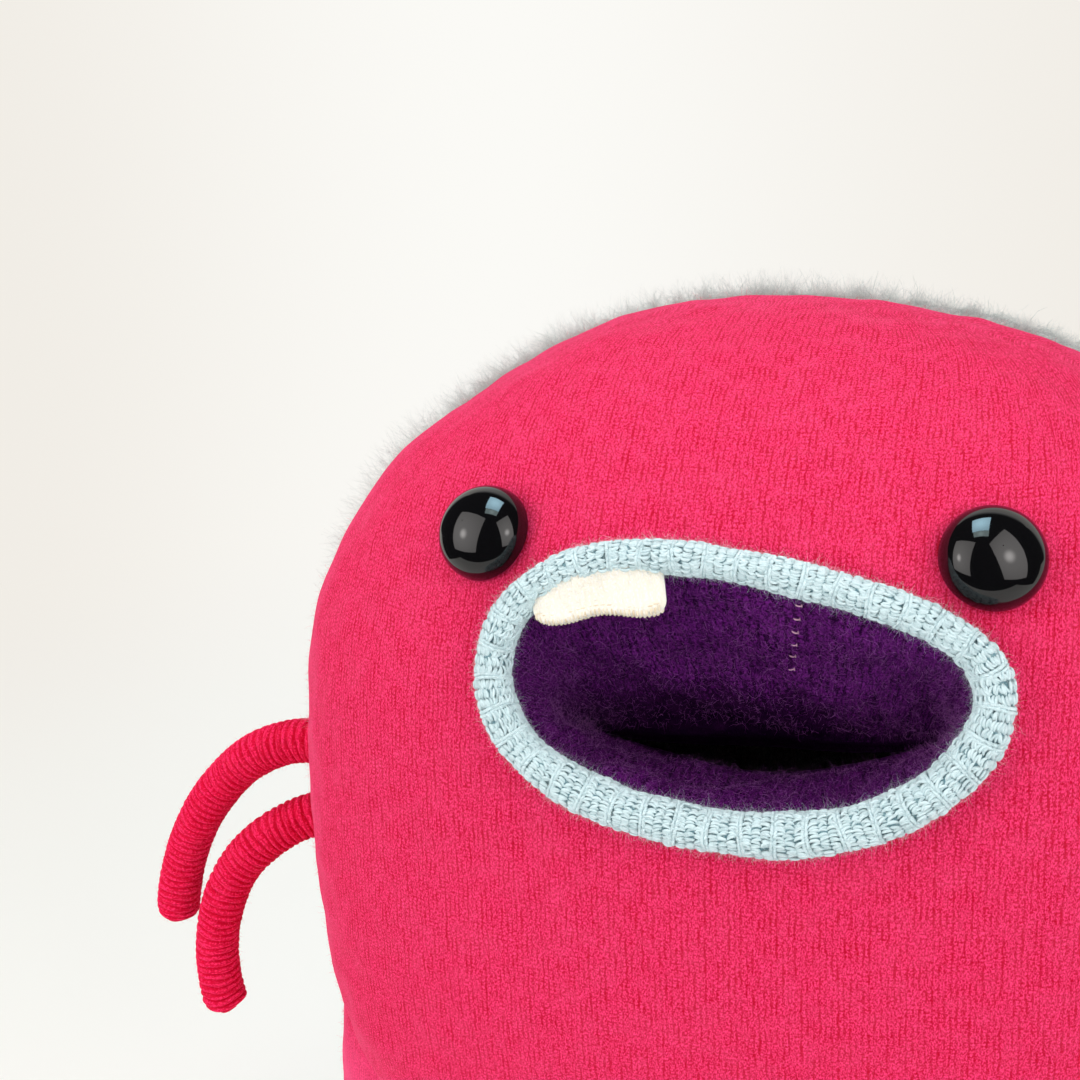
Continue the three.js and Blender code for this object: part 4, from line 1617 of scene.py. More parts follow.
@dataclass
class MouthLining:
    """The purple pocket behind the lips, folded at the back."""

    mouth: MouthForm
    around: int = 288
    deep: int = 72
    bump: float = 1.1
    slot_gap: float = 4.6
    slot_x: float = 0.0
    slot_reach: float = 36.0
    knit_width: float = 52.0
    ladder_rungs: int = 7
    ladder_from: float = 0.053
    ladder_to: float = 0.523
    ladder_angle: float = 1.247
    ladder_slope: float = 0.19
    rung: Loop = Loop(2.1, 0.45, arch=0.25, bow=0.1)
    rung_end: Loop = Loop(1.6, 0.4, arch=0.2)
    fuzz_count: int = 16000
    # A real fibre is 0.04 mm thick, too thin for a render, so it is drawn at 0.12 mm.
    fuzz_fibre: Fibre = Fibre(0.12, curl=0.8, lift=0.45, spread=0.6, seed=82, steps=5)

    def sheet(self) -> Shell:
        """Return the lining, from under the lip to the fold and closed behind it."""
        angle = circle(self.around)
        shares = np.linspace(0, 1, self.deep)
        rows = [self.mouth.edge(angle, 0.2, -0.4), self.mouth.edge(angle, 1.8, -0.4)]
        rows += [self.mouth.lining(angle, np.full(self.around, s)) for s in shares]
        back = self.mouth.crease(angle)
        flat_back = back.copy()
        flat_back[:, 2] -= self.mouth.crease_half_gap * np.sin(angle)
        rows += [back + [0.0, 9.0, -5.0], flat_back + [0.0, 13.0, -7.5]]
        points = np.stack(rows)
        share = np.concatenate([[0.0, 0.0], shares, [1.0, 1.0]])[:, None]
        middle = bell(points[..., 0] - self.slot_x, self.slot_reach)
        points[..., 2] += self.slot_gap * np.sin(angle) * middle * smooth_step(0.75, 1.0, share)
        faces = grid_faces(len(rows), self.around, wrap=True)[:, ::-1]
        shell = Shell(points.reshape(-1, 3), [faces])
        ease = smooth_step(0.0, 0.15, share) * smooth_step(1.0, 0.9, share)
        folds = 0.5 * np.sin(angle * 23 + 2.0 * np.sin(angle * 3)) * (1 - share)
        swell = self.bump * lumps(shell.points, 20.0, 71) + 0.4 * lumps(shell.points, 8.0, 72)
        rise = (folds.ravel() + swell) * ease.repeat(self.around)
        shell.points = shell.points + shell.normals() * rise[:, None]
        depth = np.linalg.norm(np.diff(points, axis=0), axis=2).mean(axis=1)
        down = np.concatenate([[0.0], np.cumsum(depth)])[:, None]
        shell.knit = stacked(angle * self.knit_width, down).reshape(-1, 2)
        # The tone paints shade into the back of the pocket and its fold.
        shell.tone = self.shade(angle, share, points[..., 0], middle).ravel()
        return shell

    def shade(
        self, angle: np.ndarray, share: np.ndarray, x: np.ndarray, middle: np.ndarray
    ) -> np.ndarray:
        """Find how much shade is painted on the fold.

        Args:
            angle: angle round the mouth.
            share: share of the way from the lip to the fold.
            x: place across the mouth.
            middle: 1 in the middle of the fold's open slot.

        Returns:
            1 in full painted shade, 0 where the cloth shows its own colour.
        """
        lower = np.clip(-np.sin(angle) * 2.0, 0, 1)
        left = smooth_step(40.0, 10.0, x)
        shade = smooth_step(0.0, 1.0, (share - 0.62 + 0.14 * left) / 0.38) * (1 - lower)
        shade = shade + 0.5 * smooth_step(0.9, 1.0, share) * lower
        return shade * np.clip(0.5 + 0.25 * left + 0.5 * middle, 0, 1)

    def fuzz(self, sheet: Shell) -> Shell:
        """Raise the lighter curled fibres of the lining.

        Args:
            sheet: the lining.

        Returns:
            The fibres.
        """
        rng = np.random.default_rng(81)
        # The first three rows lie under the lip and the last nine behind the fold.
        inner = np.arange(3 * self.around, len(sheet.points) - 9 * self.around)
        pick = rng.choice(inner, self.fuzz_count)
        normals = sheet.normals()[pick]
        roots = sheet.points[pick] + rng.normal(size=(self.fuzz_count, 3)) * 0.4
        heads = self.fuzz_fibre.heads(normals, rng)
        length = rng.uniform(1.5, 6.0, self.fuzz_count)
        return self.fuzz_fibre.grow(roots, normals, heads, length)

    def ladder(self) -> Shell:
        """Return the short pale stitches of the seam in the upper lining."""
        rng = np.random.default_rng(86)
        share = np.linspace(self.ladder_from, self.ladder_to, self.ladder_rungs)
        share = share + rng.normal(size=share.shape) * 0.004
        angle = self.ladder_angle + self.ladder_slope * share
        place = self.mouth.lining(angle, share)
        along = self.mouth.lining(angle + 0.02, share) - place
        deep = self.mouth.lining(angle, share + 0.01) - place
        away = unit(np.cross(deep, along))
        away *= -np.sign(away[:, 1:2])
        tilt = unit(along) + unit(deep) * rng.normal(size=(len(share), 1)) * 0.25
        rungs = self.rung.sew(place + away, tilt, away, rng.uniform(0.3, 0.9, len(share)))
        place = place + away * 0.9 - unit(along)
        ends = self.rung_end.sew(place, deep, away, rng.uniform(0.2, 0.6, len(share)))
        return joined([rungs, ends])

    def build(self) -> None:
        """Make the lining and let it ride on the torso."""
        # Felted matt wool: a deep purple without any shine, its stitches half gone.
        wool = WoolKnit(
            "brushed_purple_lambswool", "#6c1e7c", "#1e0228", "#8e3c9c", wale=2.2, course=1.7,
            felting=0.6, depth=0.3, mottle=7.0, grain=0.6, fibre=1.5, fibre_share=0.6,
            shine=0.02, sheen=0.0,
        ).build()
        hair = LooseFibre("purple_wool_fuzz", "#6e2482", "#c47ccc", through=0.2, shine=0.0).build()
        thread = Yarn("pale_linking_yarn", "#e4b4cc", "#96607f", ply=0.2).build()
        sheet = self.sheet()
        lining = add_piece("mouth_pocket", sheet, wool)
        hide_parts("mouth_lining")
        fuzz = add_piece("mouth_pocket_fuzz", self.fuzz(sheet), hair)
        rungs = add_piece("mouth_pocket_ladder_stitches", self.ladder(), thread)
        for piece in (lining, fuzz, rungs):
            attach(piece, "torso")


@dataclass
class FeltTooth:
    """One flat tooth of two layers, overcast along its lower edge and hung from the lip."""

    mouth: MouthForm
    x: float = -37.5
    width: float = 41.0
    length: float = 12.0
    layer: float = 2.1
    top_curve: float = 3.4
    wave: float = 0.9
    slant: float = 0.115
    corner: float = 4.0
    seat_angle: float = 10.0
    tilt: float = 4.0
    above_seam: float = 1.0
    overlap: float = 2.6
    top_lift: float = 2.6
    stitch_pitch: float = 1.3
    tone: float = 0.35
    edge_loop: Loop = Loop(2.3, 0.75, arch=0.25, bow=0.1)
    top_loop: Loop = Loop(1.9, 0.5, arch=0.15, bow=0.1)
    line_loop: Loop = Loop(2.1, 0.42, arch=0.05)
    wisp_count: int = 700
    wisp: Fibre = Fibre(0.07, curl=0.5, lift=0.0, spread=1.0, seed=98)
    nudge: tuple[float, float, float] = (0.7, 1.2, 0.3)
    top_lean: float = 2.0
    columns: int = 120
    rows: int = 44
    frame: np.ndarray = field(init=False)
    hinge: np.ndarray = field(init=False)

    def __post_init__(self) -> None:
        """Find the tooth's seat in the seam behind the lip."""
        run = np.linspace(0.25, 0.5, 4000) * self.mouth.length()
        place = self.mouth.at(run)[0]
        best = run[np.argmin(np.abs(place[:, 0] - self.x))]
        centre, along, out, inward = (v[0] for v in self.mouth.at(np.array([best])))
        half = self.layer + SEAT_GAP / 2
        reach = float(self.mouth.radius(centre[2])) + SEAT_GAP + math.hypot(half, self.above_seam)
        seat = math.radians(self.seat_angle)
        self.hinge = centre + inward * reach * math.cos(seat) - out * reach * math.sin(seat)
        right = -along
        turn = Matrix.Rotation(math.radians(-self.tilt), 3, Vector(right))
        up = np.array(turn @ Vector(-inward))
        self.frame = np.stack([right, up, np.cross(right, up)])

    def outline(self, x: np.ndarray) -> tuple[np.ndarray, np.ndarray]:
        """Draw the edges of the tooth.

        Args:
            x: places along it.

        Returns:
            The heights of the upper and the lower edge.
        """
        half = self.width / 2
        u = np.clip((np.abs(x) - (half - self.corner)) / self.corner, 0, 1)
        rise = self.corner * (1 - np.sqrt(1 - u**2))
        top = self.above_seam + self.overlap - self.top_curve * (x / half) ** 2
        top = top + self.top_lift * np.clip(x / half, 0, 1)
        swing = self.wave * np.cos(2 * math.pi * (x + 13) / 27)
        return top, rise + self.above_seam - self.length - self.slant * x - swing

    def to_place(self, local: np.ndarray) -> np.ndarray:
        """Turn the tooth's own coordinates into the frame's."""
        return self.hinge + (local + self.nudge) @ self.frame

    def thickness(self, x: np.ndarray, share: np.ndarray) -> np.ndarray:
        """Stuff the tooth to a soft pad that closes at its sewn edges.

        Args:
            x: places along it.
            share: places from its lower edge to its upper one, 0 to 1.

        Returns:
            Half its thickness.
        """
        side = np.clip(1 - (np.abs(x) / (self.width / 2)) ** 8, 0, 1)
        edge = np.clip(1 - np.abs(2 * share - 1) ** 7, 0, 1)
        return (self.layer + SEAT_GAP / 2) * np.sqrt(side * edge)

    def plate(self) -> Shell:
        """Return the padded plate: two layers that meet along its edges."""
        turn = np.linspace(0, math.pi, self.columns)
        x = -self.width / 2 * np.cos(turn)[:, None]
        share = np.linspace(0, 1, self.rows)[None, :]
        x, share = np.broadcast_arrays(x, share)
        top, bottom = self.outline(x)
        y = bottom + (top - bottom) * share
        half = self.thickness(x, share)
        flat = stacked(x, y, 0.0).reshape(-1, 3)
        rough = 0.25 * lumps(flat, 6.0, 91) + 0.12 * lumps(flat, 2.4, 92)
        inside = (half / half.max()).ravel()
        lift = half.ravel() + rough * inside
        lean = smooth_step(-1.0, 3.0, flat[:, 1]) * self.top_lean
        layers = [stacked(flat[:, 0], flat[:, 1], side * lift + lean) for side in (1, -1)]
        faces = grid_faces(self.columns, self.rows, wrap=False)
        both = np.concatenate([faces[:, ::-1], faces + len(flat)])
        points = self.to_place(np.concatenate(layers))
        knit = np.concatenate([flat[:, :2], flat[:, :2]])
        return Shell(points, [both], knit, np.full(len(points), self.tone))

    def sewn(
        self, loop: Loop, local: np.ndarray, along: list[float], away: list[float],
        tone: np.ndarray,
    ) -> Shell:
        """Sew a row of stitches on the tooth.

        Args:
            loop: the form of a stitch.
            local: their middles, in the tooth's own coordinates.
            along: the way they run.
            away: away from the felt.
            tone: lightness of each.

        Returns:
            The stitches.
        """
        along, away = (np.tile(v, (len(local), 1)) @ self.frame for v in (along, away))
        return loop.sew(self.to_place(local), along, away, tone)

    def overcast(self) -> Shell:
        """Return the stitches that wrap the tooth's edges and the running line below them."""
        rng = np.random.default_rng(95)
        half = self.width / 2
        x = np.arange(-half + 1.4, half - 1.0, self.stitch_pitch)
        x = x + rng.normal(size=x.shape) * 0.12
        bottom = self.outline(x)[1]
        loops = []
        for side in (1, -1):
            local = stacked(x, bottom + 0.75, side * 1.15)
            tone = rng.uniform(0.2, 0.7, len(x))
            along, away = [0.25, 1.0, side * 0.75], [0.0, -0.75, side]
            loops.append(self.sewn(self.edge_loop, local, along, away, tone))
        upper = np.arange(-half + 5.0, half - 1.5, 1.5)
        upper = upper + rng.normal(size=upper.shape) * 0.15
        local = stacked(upper, self.outline(upper)[0] - 0.7, 0.95 + self.top_lean)
        tone = rng.uniform(0.2, 0.7, len(upper))
        loops.append(self.sewn(self.top_loop, local, [0.1, 1.0, -0.5], [0.0, 0.5, 1.0], tone))
        line = np.arange(-half + 2.4, half - 2.0, 2.0)
        local = stacked(line, self.outline(line)[1] + 2.3, 1.95)
        tone = rng.uniform(0.2, 0.6, len(line))
        loops.append(self.sewn(self.line_loop, local, [1.0, -0.1, 0.0], [0.0, 0.0, 1.0], tone))
        return joined(loops)

    def wisps(self) -> Shell:
        """Return the felt's own fuzz along the edges."""
        rng = np.random.default_rng(97)
        x = rng.uniform(-self.width / 2 + 1, self.width / 2 - 1, self.wisp_count)
        top, bottom = self.outline(x)
        share = rng.random(self.wisp_count)
        local = stacked(x, bottom + (top - bottom) * share, self.thickness(x, share) + 0.1)
        heads = self.wisp.heads(np.zeros(local.shape), rng, np.array([0.0, -0.3, 0.6]))
        length = rng.uniform(0.8, 2.6, self.wisp_count)
        return self.wisp.grow(self.to_place(local), local, heads @ self.frame, length)

    def build(self) -> None:
        """Make the tooth and let it ride on its own body."""
        # Felted cream wool: nearly plain, with only faint stitches.
        felt = WoolKnit(
            "felted_cream_knit", "#ffffff", "#fbf6e8", "#ffffff", wale=1.9, course=1.5,
            felting=0.6, depth=0.35, mottle=5.0, sheen=0.1, sheen_tint="#ffffff",
        ).build()
        thread = Yarn("cream_sewing_yarn", "#fbf1dc", "#d2bd94", ply=0.2).build()
        hair = LooseFibre("cream_wool_fuzz", "#f1e9d2", "#ffffff").build()
        plate = add_piece("tooth_pad", self.plate(), felt)
        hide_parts("tooth_front", "tooth_back")
        stitches = add_piece("tooth_overcast_stitches", self.overcast(), thread)
        wisps = add_piece("tooth_fuzz", self.wisps(), hair)
        for piece in (plate, stitches, wisps):
            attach(piece, "tooth")


class Side(Enum):
    """The object's sides, as seen from the front."""

    LEFT = -1
    RIGHT = 1

    @property
    def word(self) -> str:
        """Return the side's name as the frame spells it."""
        return self.name.lower()


@dataclass
class DomedEye:
    """A moulded eye: a polished dome on a short rim, with a shank and a locking washer."""

    body: BodyForm
    side: Side
    radius: float = 15.0
    dome: float = 12.4
    rim: float = 1.3
    seat_depth: float = 0.7
    shank_radius: float = 3.0
    shank_length: float = 14.0
    turns: int = 96

    def moulding(self) -> Shell:
        """Return the dome, rim and shank as one turned form."""
        front = self.rim - self.seat_depth
        arc = np.linspace(0, math.pi / 2 - 0.01, 40)
        ease = np.linspace(0, math.pi / 2, 6)
        rim = [(self.radius - 0.5 + 0.5 * math.sin(a), -self.seat_depth + 0.5 - 0.5 * math.cos(a))
               for a in ease]
        dome = [(self.radius * math.cos(a), front + self.dome * math.sin(a)) for a in arc]
        shank = [(0.02, -self.shank_length), (self.shank_radius, -self.shank_length),
                 (self.shank_radius, -self.seat_depth - 0.1)]
        profile = np.array(shank + rim + dome)
        turn, reach = circle(self.turns), profile[:, :1]
        points = stacked(reach * np.cos(turn), profile[:, 1:], reach * np.sin(turn))
        seat, axis = self.body.eye_seat(self.side.value)
        turned = Vector((0, 1, 0)).rotation_difference(Vector(axis)).to_matrix()
        placed = points.reshape(-1, 3) @ np.array(turned).T + seat
        return Shell(placed, [grid_faces(len(profile), self.turns, wrap=True)[:, ::-1]])

    def build(self, gloss: bpy.types.Material, washer: bpy.types.Material) -> None:
        """Make the eye, ride it on the torso and finish its washer.

        Args:
            gloss: finish of the eye.
            washer: finish of the washer, which keeps its CAD shape.
        """
        eye = add_piece(f"domed_eye_{self.side.word}", self.moulding(), gloss)
        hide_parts(f"eye_{self.side.word}")
        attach(eye, "torso")
        node = frame["nodes"][f"eye_washer_{self.side.word}"]
        node.data.materials.clear()
        node.data.materials.append(washer)


@dataclass
class RibbedArm:
    """A ribbed knitted tube, bent down by its own weight, with its tip folded shut."""

    body: BodyForm
    side: Side
    level: str
    root_z: float
    forward: float
    start_angle: float
    bend_radius: float
    bend_length: float
    tail_radius: float
    length: float
    radius: float = 8.7
    stand_off: float = 6.2
    lead: float = 1.4
    rib_pitch: float = 3.1
    rib_depth: float = 1.7
    rib_middle: float = 0.8
    tip_length: float = 7.5
    tip_flat: float = 0.72
    root_depth: float = 8.0
    sides: int = 40
    fuzz_count: int = 1500
    fuzz_fibre: Fibre = Fibre(0.08, curl=0.4, lift=0.5, spread=0.5, seed=113)

    def line(self, s: np.ndarray) -> tuple[np.ndarray, np.ndarray, np.ndarray]:
        """Draw the arm's middle.

        Args:
            s: lengths along it.

        Returns:
            How far out and up it is, and its slope.
        """
        start = math.radians(self.start_angle)
        straight = np.minimum(s, self.lead)
        past = np.maximum(s - self.lead, 0.0)
        first = np.minimum(past, self.bend_length)
        second = np.maximum(past - self.bend_length, 0.0)
        mid = start - first / self.bend_radius
        end = mid - second / self.tail_radius
        out = straight * math.cos(start) + self.bend_radius * (math.sin(start) - np.sin(mid))
        out = out + self.tail_radius * (np.sin(mid) - np.sin(end))
        up = straight * math.sin(start) + self.bend_radius * (np.cos(mid) - math.cos(start))
        up = up + self.tail_radius * (np.cos(end) - np.cos(mid))
        return out, up, end

    def root(self) -> tuple[np.ndarray, float]:
        """Return the arm's turning point and its yaw."""
        body = self.body
        share = float(body.share(np.array(self.root_z)))
        depth = float(body.depth(body.side_seam_y)) * share
        across = abs(body.side_seam_y / depth) ** body.section_power
        surface = body.half_width * share * (1 - across) ** (1 / body.section_power)
        turn = math.radians(self.forward)
        yaw = -turn if self.side is Side.RIGHT else math.pi + turn
        place = [self.side.value * (surface + self.stand_off), body.side_seam_y, self.root_z]
        return np.array(place), yaw

    def to_place(self, local: np.ndarray) -> np.ndarray:
        """Turn the arm's own coordinates into the frame's.

        Args:
            local: points about the arm's root.

        Returns:
            The same points in the frame.
        """
        place, yaw = self.root()
        turn = np.array([[math.cos(yaw), -math.sin(yaw), 0], [math.sin(yaw), math.cos(yaw), 0],
                         [0, 0, 1]])
        return local @ turn.T + place

    def unbent(self, s: np.ndarray, turn: np.ndarray) -> np.ndarray:
        """Return places on the tube before it is bent, for its unevenness."""
        return stacked(np.cos(turn) * 8.0, np.sin(turn) * 8.0, s)

    def ribs(self, s: np.ndarray, turn: np.ndarray) -> np.ndarray:
        """Find how far a place stands on a rib of the tube.

        Args:
            s: length along the arm.
            turn: angle round it.

        Returns:
            0 in the groove between two ribs and 1 along a rib's middle.
        """
        around = self.unbent(s, turn)
        wander = 0.6 * lumps(around, 17.0, 115) + 0.25 * lumps(around, 6.0, 116)
        return np.abs(np.cos((s + wander) / self.rib_pitch * math.pi)) ** 0.6

    def skin(self, s: np.ndarray, turn: np.ndarray, lift: float) -> np.ndarray:
        """Find places on the knit tube.

        Args:
            s: length along the arm.
            turn: angle round it.
            lift: height above the knit.

        Returns:
            The places.
        """
        out, up, slope = self.line(s)
        around = self.unbent(s, turn)
        swell = 1 + 0.25 * lumps(around, 8.0, 117)
        rib = self.rib_depth * (self.ribs(s, turn) - self.rib_middle) * swell
        puff = 0.3 * lumps(around, 22.0, 118)
        tip = np.clip((s - self.length + self.tip_length) / self.tip_length, 0, 1)
        neck = np.clip(-s / self.root_depth, 0, 1)
        round_end = np.sqrt(np.maximum(1 - 0.35 * neck**2, 0))
        base = (self.radius + rib * (1 - 0.6 * tip**2) + puff + lift) * round_end
        folded = np.sqrt(np.maximum(1 - tip**2.2, 0.004))
        across = base * np.cos(turn) * folded
        high = base * np.sin(turn) * (1 - self.tip_flat * smooth_step(0.25, 1.0, tip))
        high = high - 0.9 * tip * (1 - np.cos(turn) ** 2)
        local = stacked(out - high * np.sin(slope), across, up + high * np.cos(slope))
        return self.to_place(local)

    def sleeve(self) -> Shell:
        """Return the knitted tube."""
        stations = int(self.length / self.rib_pitch * 12)
        s = np.concatenate([np.linspace(-self.root_depth, 0, 12)[:-1],
                            np.linspace(0, self.length, stations)])
        back = 0.0 if self.side is Side.RIGHT else math.pi
        turn = back + np.arange(self.sides + 1) * 2 * math.pi / self.sides
        grid, around = np.meshgrid(s, turn, indexing="ij")
        points = self.skin(grid, around, 0.0)
        faces = grid_faces(len(s), self.sides + 1, wrap=False)
        knit = stacked(grid, (around - back) * self.radius).reshape(-1, 2)
        # Painted shade: the tone darkens the grooves between the ribs and the root, where the arm
        # goes into the body.
        groove_shade = 1 - smooth_step(0.35, 0.8, self.ribs(grid, around))
        root = smooth_step(9.0, 0.0, grid) * 0.5
        tone = np.clip(0.9 * groove_shade + root, 0, 1)
        ends = end_faces(len(s), self.sides + 1)
        return Shell(points.reshape(-1, 3), [faces, ends], knit, tone.ravel())

    def fuzz(self) -> Shell:
        """Return the short fibres on the tube."""
        rng = np.random.default_rng(111 + self.side.value + int(self.root_z))
        s = rng.uniform(2, self.length - 2, self.fuzz_count)
        turn = rng.uniform(0, 2 * math.pi, self.fuzz_count)
        root, tip = self.skin(s, turn, 0.0), self.skin(s, turn, 1.0)
        away = unit(tip - root)
        heads = self.fuzz_fibre.heads(away, rng)
        length = rng.uniform(1.0, 2.8, self.fuzz_count)
        return self.fuzz_fibre.grow(root, away, heads, length)

    def build(self, knit: bpy.types.Material, hair: bpy.types.Material) -> None:
        """Make the arm and bake its place into its points.

        Args:
            knit: finish of the tube.
            hair: finish of the fibres.
        """
        name = f"{self.level}_{self.side.word}"
        place, yaw = self.root()
        sleeve = add_piece(f"ribbed_arm_{name}", self.sleeve(), knit)
        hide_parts(f"arm_{name}", f"arm_{name}_filling")
        fuzz = add_piece(f"arm_fuzz_{name}", self.fuzz(), hair)
        for piece in (sleeve, fuzz):
            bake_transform(piece)


@dataclass
class SewnSole:
    """A flat oval of knit that closes a leg, its edge rolled in under the foot."""

    body: BodyForm
    side: Side
    thickness: float = 2.6
    roll_in: float = 1.6
    rings: int = 26
    around: int = 96

    def pad(self) -> Shell:
        """Return the sole: flat under the foot, with an edge that rolls up and in again."""
        body = self.body
        outline = body.leg_section(self.thickness / 2, self.around)
        turn = np.linspace(0, math.pi, 10)
        inset = self.roll_in * (1 - np.sin(turn))
        level = self.thickness / 2 * (1 - np.cos(turn))
        rows = [(outline * share, 0.0) for share in np.linspace(0.01, 0.96, self.rings)[:-1]]
        rows += [(outline - unit(outline) * back, z) for back, z in zip(inset, level)]
        points = np.stack([stacked(*flat.T, z) for flat, z in rows])
        points[:, :, 0] += body.leg_middle(self.side.value)
        flat = points.reshape(-1, 3)
        flat[:, 2] += 0.25 * np.clip(lumps(flat, 12.0, 121), 0, 1) * (flat[:, 2] < 0.05)
        faces = grid_faces(len(rows), self.around, wrap=True)[:, ::-1]
        return Shell(flat, [faces], flat[:, :2].copy())

    def build(self, knit: bpy.types.Material) -> None:
        """Make the sole and let it ride on the torso.

        Args:
            knit: its finish.
        """
        sole = add_piece(f"sewn_sole_{self.side.word}", self.pad(), knit)
        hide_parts(f"sole_{self.side.word}")
        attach(sole, "torso")


# Studio


@dataclass
class PhotoCamera:
    """The camera where the photograph was taken from."""

    place: tuple[float, float, float] = (101.51, -527.33, 476.64)
    yaw: float = 20.02
    pitch: float = 17.70
    roll: float = -3.45
    lens: float = 53.573

    def build(self) -> None:
        """Make the camera and give it to the scene."""
        yaw, pitch, roll = (math.radians(a) for a in (self.yaw, self.pitch, self.roll))
        ahead = Vector((-math.sin(yaw) * math.cos(pitch), math.cos(yaw) * math.cos(pitch),
                        -math.sin(pitch)))
        right = Vector((math.cos(yaw), math.sin(yaw), 0))
        up = right.cross(ahead)
        across = right * math.cos(roll) + up * math.sin(roll)
        above = up * math.cos(roll) - right * math.sin(roll)
        data = bpy.data.cameras.new("photo_camera")
        data.lens, data.sensor_width = self.lens, 36.0
        data.clip_start, data.clip_end = 0.01, 50.0
        camera = place_in_scene("photo_camera", data)
        turn = Matrix((across, above, -ahead)).transposed().to_4x4()
        camera.matrix_world = Matrix.Translation(Vector(self.place) * MM) @ turn
        bpy.context.scene.camera = camera


class Seen(Enum):
    """What a lamp is for: lighting the toy, or showing as a reflection in its eyes."""

    LIGHT = "light"
    MIRROR = "mirror"


@dataclass(frozen=True)
class Softbox:
    """A flat lamp that faces a point on the toy, with a hot spot where its bulb is."""

    name: str
    place: tuple[float, float, float]
    target: tuple[float, float, float]
    width: float
    height: float
    radiance: float
    tint: str
    seen: Seen = Seen.LIGHT
    hot_spot: float = 0.0

    def build(self) -> None:
        """Make the lamp; its power follows from its size and the radiance wanted."""
        data = bpy.data.lights.new(self.name, "AREA")
        data.shape = "RECTANGLE"
        data.size, data.size_y = self.width * MM, self.height * MM
        data.energy = self.radiance * math.pi * data.size * data.size_y
        data.color = linear(self.tint)[:3]
        data.use_nodes = True
        tree = data.node_tree
        tree.nodes.clear()
        sheet = add_node(tree, "NewGeometry", out="Parametric")
        middle = add_node(tree, "VectorMath", {0: sheet, 1: (0.5, 0.5, 0.0)}, operation="SUBTRACT")
        shape = {0: middle, 1: (self.width / self.height, 1.0, 0.0)}
        sized = add_node(tree, "VectorMath", shape, operation="MULTIPLY")
        off = add_node(tree, "VectorMath", {0: sized}, out="Value", operation="LENGTH")
        # The diffuser is brighter in its middle, and the bulb behind it shows as a small disc.
        glow = {"Value": off, "From Min": 0.0, "From Max": 0.65, "To Min": 1.15, "To Max": 0.75}
        cloth = add_node(tree, "MapRange", glow, interpolation_type="SMOOTHSTEP")
        disc = {"Value": off, "From Min": 0.0, "From Max": 0.16, "To Min": self.hot_spot,
                "To Max": 0.0}
        bulb = add_node(tree, "MapRange", disc, interpolation_type="SMOOTHERSTEP")
        both = add_node(tree, "Math", {0: cloth, 1: bulb}, operation="ADD")
        shine = add_node(tree, "Emission", {"Strength": both})
        add_node(tree, "OutputLight", {"Surface": shine})
        lamp = place_in_scene(self.name, data)
        lamp.location = Vector(self.place) * MM
        facing = (Vector(self.target) - Vector(self.place)).normalized()
        lamp.rotation_mode = "QUATERNION"
        lamp.rotation_quaternion = facing.to_track_quat("-Z", "Y")
        lamp.visible_camera = False
        lamp.visible_glossy = self.seen is Seen.MIRROR
        lamp.visible_diffuse = self.seen is Seen.LIGHT


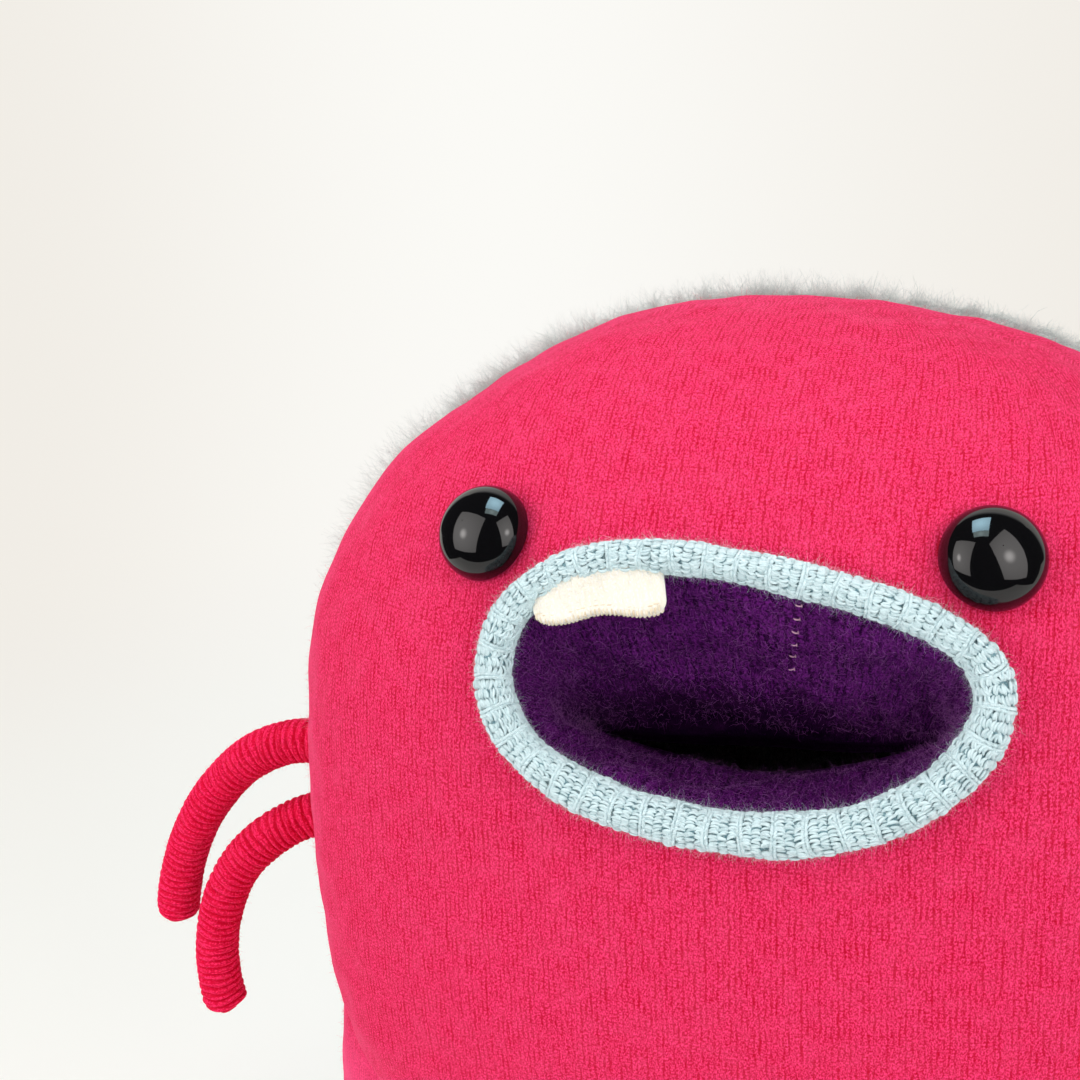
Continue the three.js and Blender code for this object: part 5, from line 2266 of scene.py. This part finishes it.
@dataclass
class Studio:
    """White paper swept up behind the toy, softboxes and a dim room.

    The lamps that light the toy stand far off, so the light is even. The small ones close
    to the eyes give the reflections of the photograph and light nothing.
    """

    half_width: float = 2600.0
    table_half_width: float = 650.0
    front_reach: float = 490.0
    back_reach: float = 1500.0
    sweep: float = 700.0
    wall: float = 2600.0
    room_front: float = 0.3
    room_back: float = 0.9
    room_dark: float = 0.03
    room_seen: float = 0.92
    lamps: tuple[Softbox, ...] = (
        Softbox("left_softbox", (-960.0, -900.0, 800.0), (-20.0, -90.0, 250.0), 1250.0, 1250.0,
                2.95, "#fffaf6"),
        Softbox("front_fill", (600.0, -1600.0, 200.0), (0.0, -100.0, 180.0), 1500.0, 1000.0,
                1.55, "#ffffff"),
        Softbox("right_softbox", (1010.0, -620.0, 870.0), (20.0, -60.0, 250.0), 1000.0, 800.0,
                4.1, "#fffaf6"),
        Softbox("ceiling", (-300.0, 200.0, 1900.0), (0.0, 0.0, 0.0), 2300.0, 2300.0, 1.2,
                "#ffffff"),
        Softbox("left_panel", (-330.0, -325.0, 446.0), (-174.0, -10.0, 256.0), 433.0, 508.0,
                2.4, "#fffaf8", Seen.MIRROR, 2.2),
        Softbox("right_panel", (217.0, -245.0, 440.0), (53.0, -169.0, 354.0), 233.0, 410.0,
                2.4, "#fffaf8", Seen.MIRROR, 2.2),
        Softbox("top_window", (-26.0, -50.0, 715.0), (-26.0, -50.0, 0.0), 190.0, 225.0, 11.0,
                "#c0ecff", Seen.MIRROR),
        Softbox("top_window_blind", (-20.0, -207.0, 715.0), (-20.0, -207.0, 0.0), 185.0, 85.0,
                4.2, "#e4ffff", Seen.MIRROR),
    )

    def paper(self) -> None:
        """Make the table and backdrop as one curved sheet, wider behind the toy."""
        turn = np.linspace(0, math.pi / 2, 24)
        y = np.concatenate([[-self.front_reach, 0.0, 900.0],
                            self.back_reach + self.sweep * np.sin(turn),
                            [self.back_reach + self.sweep]])
        z = np.concatenate([[0.0] * 3, self.sweep * (1 - np.cos(turn)), [self.wall]])
        wide = np.full(len(y), self.half_width)
        wide[:2] = self.table_half_width
        rows = [[(-a, b, c), (a, b, c)] for a, b, c in zip(wide, y, z)]
        points = np.array(rows, dtype=float).reshape(-1, 3)
        sheet = add_piece("studio_paper", Shell(points, [grid_faces(len(y), 2, wrap=False)]),
                          StudioPaper().build())

    def room(self) -> None:
        """Make the world: dim before the toy, bright behind it and pale to the camera."""
        world = bpy.data.worlds.new("studio_room")
        bpy.context.scene.world = world
        world.use_nodes = True
        tree = world.node_tree
        tree.nodes.clear()
        place = add_node(tree, "TexCoord", out="Generated")
        depth = add_node(tree, "SeparateXYZ", {0: place}, out="Y")
        span = {"Value": depth, "From Min": -0.35, "From Max": 0.7, "To Min": self.room_front,
                "To Max": self.room_back}
        level = add_node(tree, "MapRange", span, interpolation_type="SMOOTHSTEP")
        camera = add_node(tree, "LightPath", out="Is Camera Ray")
        paths = camera.node.outputs
        through = {0: camera, 1: paths["Is Transmission Ray"]}
        clear = add_node(tree, "Math", through, operation="MAXIMUM")
        pale = {0: clear, 2: level, 3: self.room_seen}
        shown = add_node(tree, "Mix", pale, data_type="FLOAT")
        # The polished eyes mirror the backdrop behind them and a dark room before them.
        dark = {"Value": depth, "From Min": 0.55, "From Max": 0.68, "To Min": self.room_dark}
        mirrored = add_node(tree, "MapRange", dark)
        mirror = {0: paths["Is Glossy Ray"], 2: shown, 3: mirrored}
        strength = add_node(tree, "Mix", mirror, data_type="FLOAT")
        tint = linear("#fbfaf8")
        room = add_node(tree, "Background", {"Color": tint, "Strength": strength})
        add_node(tree, "OutputWorld", {"Surface": room})

    def build(self) -> None:
        """Set up paper, room, lamps and the plain view transform."""
        self.paper()
        self.room()
        for lamp in self.lamps:
            lamp.build()
        bpy.context.scene.view_settings.view_transform = "Standard"


def main() -> None:
    logging.basicConfig(level=logging.INFO, format="%(name)s: %(message)s")
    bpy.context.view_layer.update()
    PhotoCamera().build()
    Studio().build()
    body = BodyForm()
    mouth = MouthForm(body)
    KnitBody(body, mouth).build()
    RolledLip(mouth).build()
    MouthLining(mouth).build()
    FeltTooth(mouth).build()
    # Polished moulds leave the eyes a mirror gloss; the washers come from a plain, matt one.
    gloss = MouldedPlastic("moulded_black_acrylic", "#08080a", 0.04).build()
    matt = MouldedPlastic("moulded_white_polyethylene", "#e8e8e4", 0.45, ripple=0.05).build()
    # The most felted wool: the arms look plain between their ribs.
    knit = WoolKnit(
        "ribbed_pink_lambswool", "#ff2e6e", "#d00034", "#fb4676", wale=1.65, course=1.3,
        felting=0.8, depth=0.15, mottle=6.0, grain=0.7, grain_share=0.45, fibre_share=0.15,
    ).build()
    hair = LooseFibre("arm_wool_fuzz", "#f02e5c", "#fd6c90").build()
    # A little more felted than the belly, so plainer and softer.
    sole = WoolKnit("felted_pink_sole_knit", "#f95a86", "#d80436", "#fb5a84").build()
    for side in Side:
        DomedEye(body, side).build(gloss, matt)
        SewnSole(body, side).build(sole)
        RibbedArm(body, side, "upper", 210.8, 0.0, 3.4, 56.4, 42.3, 115.0, 133.9).build(knit, hair)
        RibbedArm(body, side, "lower", 181.2, 18.3, -5.4, 58.3, 60.9, 86.8, 119.4).build(knit, hair)


if __name__ == "__main__":
    main()
